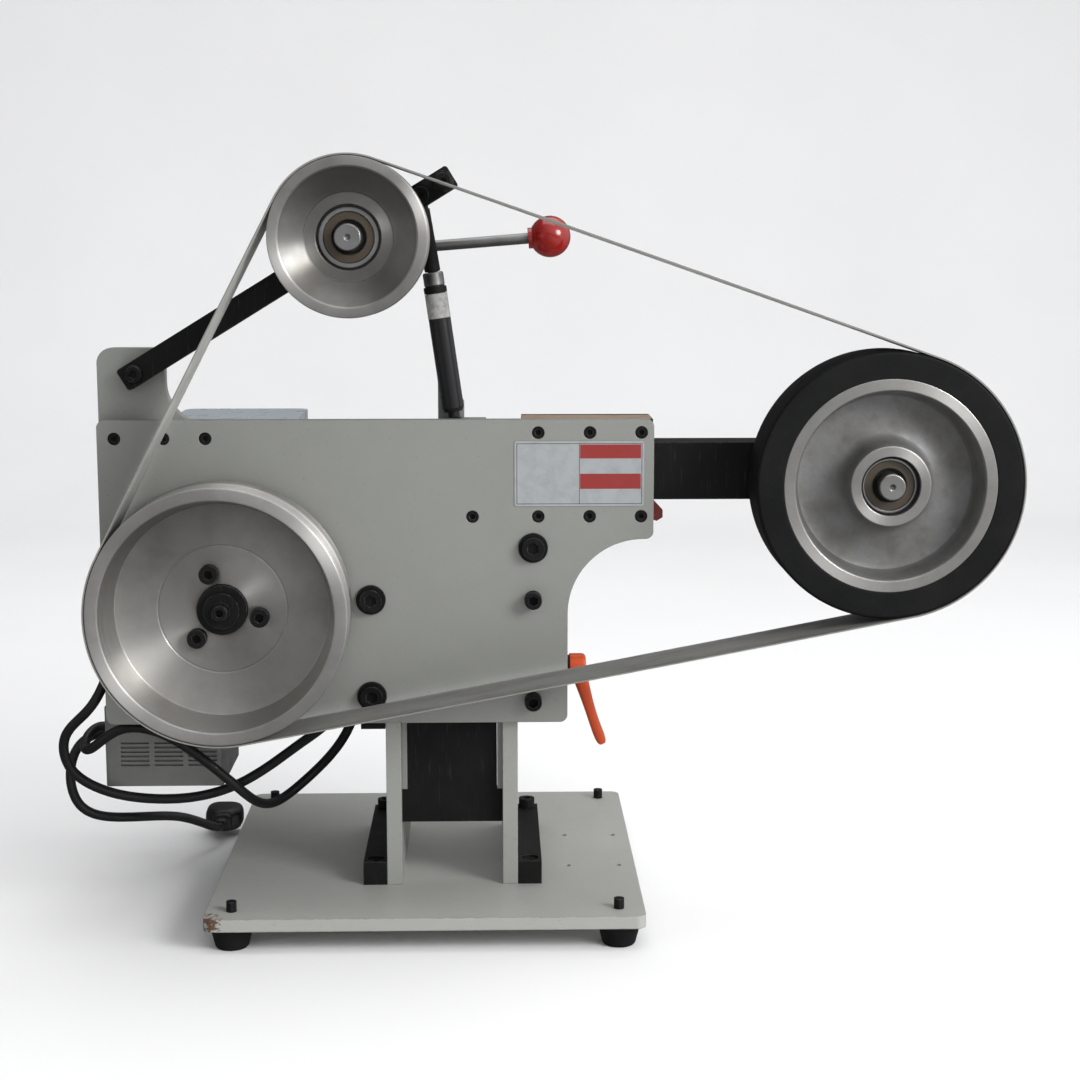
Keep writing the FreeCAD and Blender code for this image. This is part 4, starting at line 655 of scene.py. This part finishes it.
def belt_stations(step=3.0 * MM):
    """Points and outward directions along the loop, with how far each is into a free run (0 to 1 to 0)."""
    wheels = [(centre.x, centre.z, radius_of(node) + 0.05 * MM)
              for centre, node in ((DRIVE, "drive_wheel"), (CONTACT, "contact_tyre"), (IDLER, "idler_wheel"))]
    sides = [run_between(wheels[index], wheels[(index + 1) % 3]) for index in range(3)]
    stations = []
    for index, (x, z, radius) in enumerate(wheels):
        start, sweep = sides[index - 1], (sides[index] - sides[index - 1]) % (2 * math.pi)
        count = max(8, int(sweep * radius / step))
        for number in range(count):
            turn = start + sweep * number / count
            out = Vector((math.cos(turn), 0, math.sin(turn)))
            stations.append((Vector((x, 0, z)) + out * radius, out, 0.0))
        out = Vector((math.cos(sides[index]), 0, math.sin(sides[index])))
        following = wheels[(index + 1) % 3]
        leave = Vector((x, 0, z)) + out * radius
        arrive = Vector((following[0], 0, following[1])) + out * following[2]
        count = int((arrive - leave).length / step)
        for number in range(count):
            along = number / count
            stations.append((leave.lerp(arrive, along), out, math.sin(math.pi * along)))
    return stations


def build_belt():
    """Cloth belt: grit outside, woven backing inside, edges curled a little where it runs free."""
    thickness, half = 1.2 * MM, WHEEL_WIDTH / 2
    middle_y = WHEEL_FRONT + half
    columns = [-1, -0.985, -0.7, -0.35, 0, 0.35, 0.7, 0.985, 1]
    bm = bmesh.new()
    rows = []
    for place, out, free in belt_stations():
        flutter = random.uniform(-0.05, 0.05) * MM * free
        row = []
        for side, across in [(0, c) for c in columns] + [(1, c) for c in reversed(columns)]:
            curl = 0.7 * MM * free * across ** 4 + flutter
            edge = 0.12 * MM if abs(across) == 1 else 0
            depth = (thickness - edge if side else edge) + curl
            fray = random.uniform(-0.12, 0.0) * MM if abs(across) == 1 else 0
            y = middle_y + across * half + fray * across
            row.append(bm.verts.new(place + out * depth + Vector((0, y, 0))))
        rows.append(row)
    width = len(columns)
    for number, row in enumerate(rows):
        following = rows[(number + 1) % len(rows)]
        for index in range(2 * width):
            after = (index + 1) % (2 * width)
            face = bm.faces.new((row[index], row[after], following[after], following[index]))
            inner, outer = index < width - 1, width <= index < 2 * width - 1
            face.material_index = 0 if inner else 1 if outer else 2
    belt = finish_mesh("cloth_belt", bm, [mat_backing, mat_grit, mat_edge], None, 50)
    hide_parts("abrasive_belt")
    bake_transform(belt)


# ---------------------------------------------------------------- small parts

def build_strut_dress():
    """Paper sleeve, black collar and bright gland nut round the top of the gas strut's tube, and a dust
    boot between the tube and the rod."""
    for name, profile, look in (
            ("strut_paper_sleeve", [(8.62, 84), (8.75, 84), (8.75, 103), (8.62, 103)], mat_sleeve),
            ("strut_collar", [(8.62, 103.4), (8.9, 103.4), (8.9, 107.6), (8.4, 108.4), (7.7, 108.4),
                              (7.7, 103.4)], mat_black),
            ("strut_gland", [(4.2, 109), (7.2, 109), (8.0, 109.6), (8.0, 118.6), (7.0, 119.4), (4.2, 119.4)],
             mat_lever)):
        lathe(name, mm(profile), STRUT_FOOT, STRUT_AXIS, [look], "strut_lower", 96)
    rod = [(4.06, 119.8), (5.6, 119.8), (6.2, 121), (4.9, 168), (4.06, 168)]
    boot = lathe("strut_rod_boot", mm(rod), STRUT_FOOT, STRUT_AXIS, [mat_black], None, 64)
    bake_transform(boot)


def build_feet():
    """Tapered rubber feet with a moulded lip and a rounded tread."""
    low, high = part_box("rubber_feet")
    height = (high.z - low.z) / MM
    top, tip = 17.2, 12.6
    profile = mm([(4.2, 0), (top - 0.8, 0), (top, 0.6), (top, 2.2), (top - 0.7, 2.8),
                  (tip + 0.5, height - 1.6), (tip - 0.6, height - 0.2), (tip - 2.0, height), (5.4, height),
                  (5.0, height - 2.2), (4.2, height - 2.2)])
    for number, (x, y) in enumerate((x, y) for x in (low.x + top * MM, high.x - top * MM)
                                    for y in (low.y + top * MM, high.y - top * MM)):
        foot = lathe(f"foot_{number}", profile, Vector((x, y, high.z)), (0, 0, -1), [mat_foot], "base", 72)
    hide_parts("rubber_feet")


def loft(name, rings, look, body, angle=40.0):
    """A closed skin over rings of points, each ring with the same count, capped at both ends."""
    bm = bmesh.new()
    rows = [[bm.verts.new(point) for point in ring] for ring in rings]
    for first, second in zip(rows, rows[1:]):
        count = len(first)
        for index in range(count):
            after = (index + 1) % count
            bm.faces.new((first[index], first[after], second[after], second[index]))
    bm.faces.new(list(reversed(rows[0])))
    bm.faces.new(rows[-1])
    return finish_mesh(name, bm, [look], body, angle)


def oval_ring(centre, across, deep, width, depth, count=28, power=0.75):
    """Points of a softened rectangle: across and deep are unit directions."""
    points = []
    for step in range(count):
        turn = 2 * math.pi * step / count
        c, s = math.cos(turn), math.sin(turn)
        points.append(centre + across * (width / 2 * math.copysign(abs(c) ** power, c))
                      + deep * (depth / 2 * math.copysign(abs(s) ** power, s)))
    return points


def build_clamp_lever():
    """Die-cast clamping lever: round hub with a bright screw, waisted arm and a thickened tip."""
    low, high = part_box("clamp_lever")
    pivot = Vector(JOINTS["clamp_turn"]["pos_m"])
    root = Vector((low.x, pivot.y, pivot.z))
    hub = mm([(4.1, 0.2), (8.6, 0.2), (9.3, 0.9), (9.3, 10.6), (8.6, 12.4), (7.0, 13.4), (5.0, 13.7),
              (4.7, 13.2), (4.1, 13.2)])
    lathe("clamp_lever_hub", hub, root, (1, 0, 0), [mat_orange], "clamp", 72)
    screw = mm([(0, 10), (1.9, 10), (2.1, 12.8), (3.5, 12.8), (3.9, 12.4), (3.9, 9), (0, 9)])
    lathe("clamp_lever_screw", screw, root, (1, 0, 0), [mat_black], "clamp", 48)
    spine = [((6.6, -1.0), 13.0, 13), ((8.6, -8), 12.4, 12), ((11.4, -17), 10.8, 10.6),
             ((14.6, -28), 9.2, 9.4), ((18.0, -39), 8.2, 9.2), ((21.6, -50), 8.4, 9.8),
             ((24.8, -58.5), 8.8, 10.4), ((26.8, -63.4), 7.6, 9.0), ((27.8, -65.6), 4.6, 5.6)]
    rings = []
    for index, ((x, z), width, depth) in enumerate(spine):
        before, after = spine[max(0, index - 1)][0], spine[min(len(spine) - 1, index + 1)][0]
        along = Vector((after[0] - before[0], 0, after[1] - before[1])).normalized()
        across = Vector((-along.z, 0, along.x))
        centre = Vector((low.x + x * MM, pivot.y, pivot.z + z * MM))
        rings.append(oval_ring(centre, across, BACKWARDS, width * MM, depth * MM))
    lever = loft("clamp_lever_arm", rings, mat_orange, "clamp")
    lever.modifiers.new("smooth", "SUBSURF").render_levels = 1
    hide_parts("clamp_lever")


def build_plug():
    """Rubber mains plug with a ribbed grip and two flat pins, lying on the bench."""
    low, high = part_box("mains_plug")
    start = Vector(((low.x + high.x) / 2, low.y, (low.z + high.z) / 2))
    sideways, upwards = Vector((1, 0, 0)), Vector((0, 0, 1))
    rings = []
    for along, width, depth in ((0, 9, 9), (1.5, 11, 11), (7, 11.5, 11.5), (8, 15, 15), (10, 17, 16.5),
                                (13, 18, 17), (14, 21, 19), (17, 23, 20), (18, 26, 21), (21, 30, 22),
                                (24, 33, 23), (36, 34, 23.6), (39, 33, 23), (40, 31, 21)):
        rings.append(oval_ring(start + BACKWARDS * along * MM, sideways, upwards,
                               width * MM, depth * MM, 36, 0.6))
    plug = loft("plug_body", rings, mat_cable, "head")
    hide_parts("mains_plug")
    for number, side in enumerate((-1, 1)):
        root = start + sideways * side * 8 * MM
        pin = [oval_ring(root + BACKWARDS * along * MM, sideways, upwards, width * MM, depth * MM, 16, 0.4)
               for along, width, depth in ((39.5, 1.6, 6.2), (56.5, 1.6, 6.2), (58, 1.0, 4.6))]
        loft(f"plug_pin_{number}", pin, mat_steel, "head")


def build_small_parts():
    """Strut dress, feet, clamping lever and plug."""
    build_strut_dress()
    build_feet()
    build_clamp_lever()
    build_plug()


# ---------------------------------------------------------------- stage

def build_stage():
    """A pale floor that curves up into a pale wall behind the object."""
    bm = bmesh.new()
    half, front, back, sweep = 6.0, -4.0, 3.2, 1.2
    outline = [(front, 0.0), (back - sweep, 0.0)]
    for step in range(1, 17):
        turn = math.pi / 2 * step / 16
        outline.append((back - sweep + sweep * math.sin(turn), sweep - sweep * math.cos(turn)))
    outline.append((back, 5.0))
    rows = [[bm.verts.new((x, y, z)) for y, z in outline] for x in (-half, half)]
    for index in range(len(outline) - 1):
        bm.faces.new((rows[0][index], rows[1][index], rows[1][index + 1], rows[0][index + 1]))
    data = bpy.data.meshes.new("stage_floor")
    bm.to_mesh(data)
    bm.free()
    data.shade_smooth()
    floor = bpy.data.objects.new("stage_floor", data)
    bpy.context.scene.collection.objects.link(floor)
    s = Shader("stage_paper")
    tone = s.ramp(s.noise(2.0, 3, 0.5), 0.3, 0.7, 0.80, 0.83)
    s.set(Base_Color=s.add("ShaderNodeCombineColor", {0: tone, 1: tone, 2: tone}).outputs[0], Roughness=0.9)
    dress(floor, s.material)
    floor.visible_glossy = False


def build_world():
    """Soft room light, brighter towards a window on the right, in front of a plain pale backdrop."""
    world = bpy.data.worlds.new("studio")
    world.use_nodes = True
    bpy.context.scene.world = world
    tree = world.node_tree
    heading = tree.nodes.new("ShaderNodeTexCoord").outputs["Generated"]
    towards = tree.nodes.new("ShaderNodeVectorMath")
    towards.operation = "DOT_PRODUCT"
    towards.inputs[1].default_value = Vector((0.72, -0.38, 0.58)).normalized()
    level = tree.nodes.new("ShaderNodeMapRange")
    level.interpolation_type = "SMOOTHSTEP"
    for socket, value in (("From Min", -0.1), ("From Max", 0.95), ("To Min", 0.14), ("To Max", 1.2)):
        level.inputs[socket].default_value = value
    background = tree.nodes["Background"]
    background.inputs["Color"].default_value = (0.98, 0.985, 1.0, 1)
    tree.links.new(heading, towards.inputs[0])
    tree.links.new(towards.outputs["Value"], level.inputs["Value"])
    plain = tree.nodes.new("ShaderNodeMix")
    plain.inputs["B"].default_value = 0.85
    tree.links.new(tree.nodes.new("ShaderNodeLightPath").outputs["Is Camera Ray"], plain.inputs["Factor"])
    tree.links.new(level.outputs["Result"], plain.inputs["A"])
    tree.links.new(plain.outputs["Result"], background.inputs["Strength"])


def build_lights():
    """A key light from the right, a weak fill from the left and a broad light overhead."""
    build_world()
    target = Vector((0.0, 0.0, 0.32))
    for name, spot, size, power in (("key", (1.7, -1.5, 1.35), 0.9, 44.0),
                                    ("fill", (-2.4, -1.8, 1.0), 2.4, 7.0),
                                    ("top", (0.1, 0.3, 2.6), 2.2, 26.0)):
        light = bpy.data.lights.new(name, "AREA")
        light.energy = power
        light.size = size
        lamp = bpy.data.objects.new(name, light)
        lamp.location = spot
        lamp.rotation_mode = "QUATERNION"
        lamp.rotation_quaternion = (target - Vector(spot)).to_track_quat("-Z", "Y")
        bpy.context.scene.collection.objects.link(lamp)


def build_camera():
    """Low frontal view, a little above the wheels and slightly right of the column."""
    data = bpy.data.cameras.new("camera")
    data.lens = 63.43
    data.sensor_width = 36
    data.clip_start = 0.05
    camera = bpy.data.objects.new("camera", data)
    camera.location = CAMERA_PLACE
    camera.rotation_euler = (math.pi / 2 - CAMERA_DOWN, 0, -CAMERA_RIGHT)
    bpy.context.scene.collection.objects.link(camera)
    bpy.context.scene.camera = camera
    bpy.context.scene.view_settings.view_transform = "Standard"


dress_frame()
build_wheels()
build_belt()
build_small_parts()
build_stage()
build_lights()
build_camera()
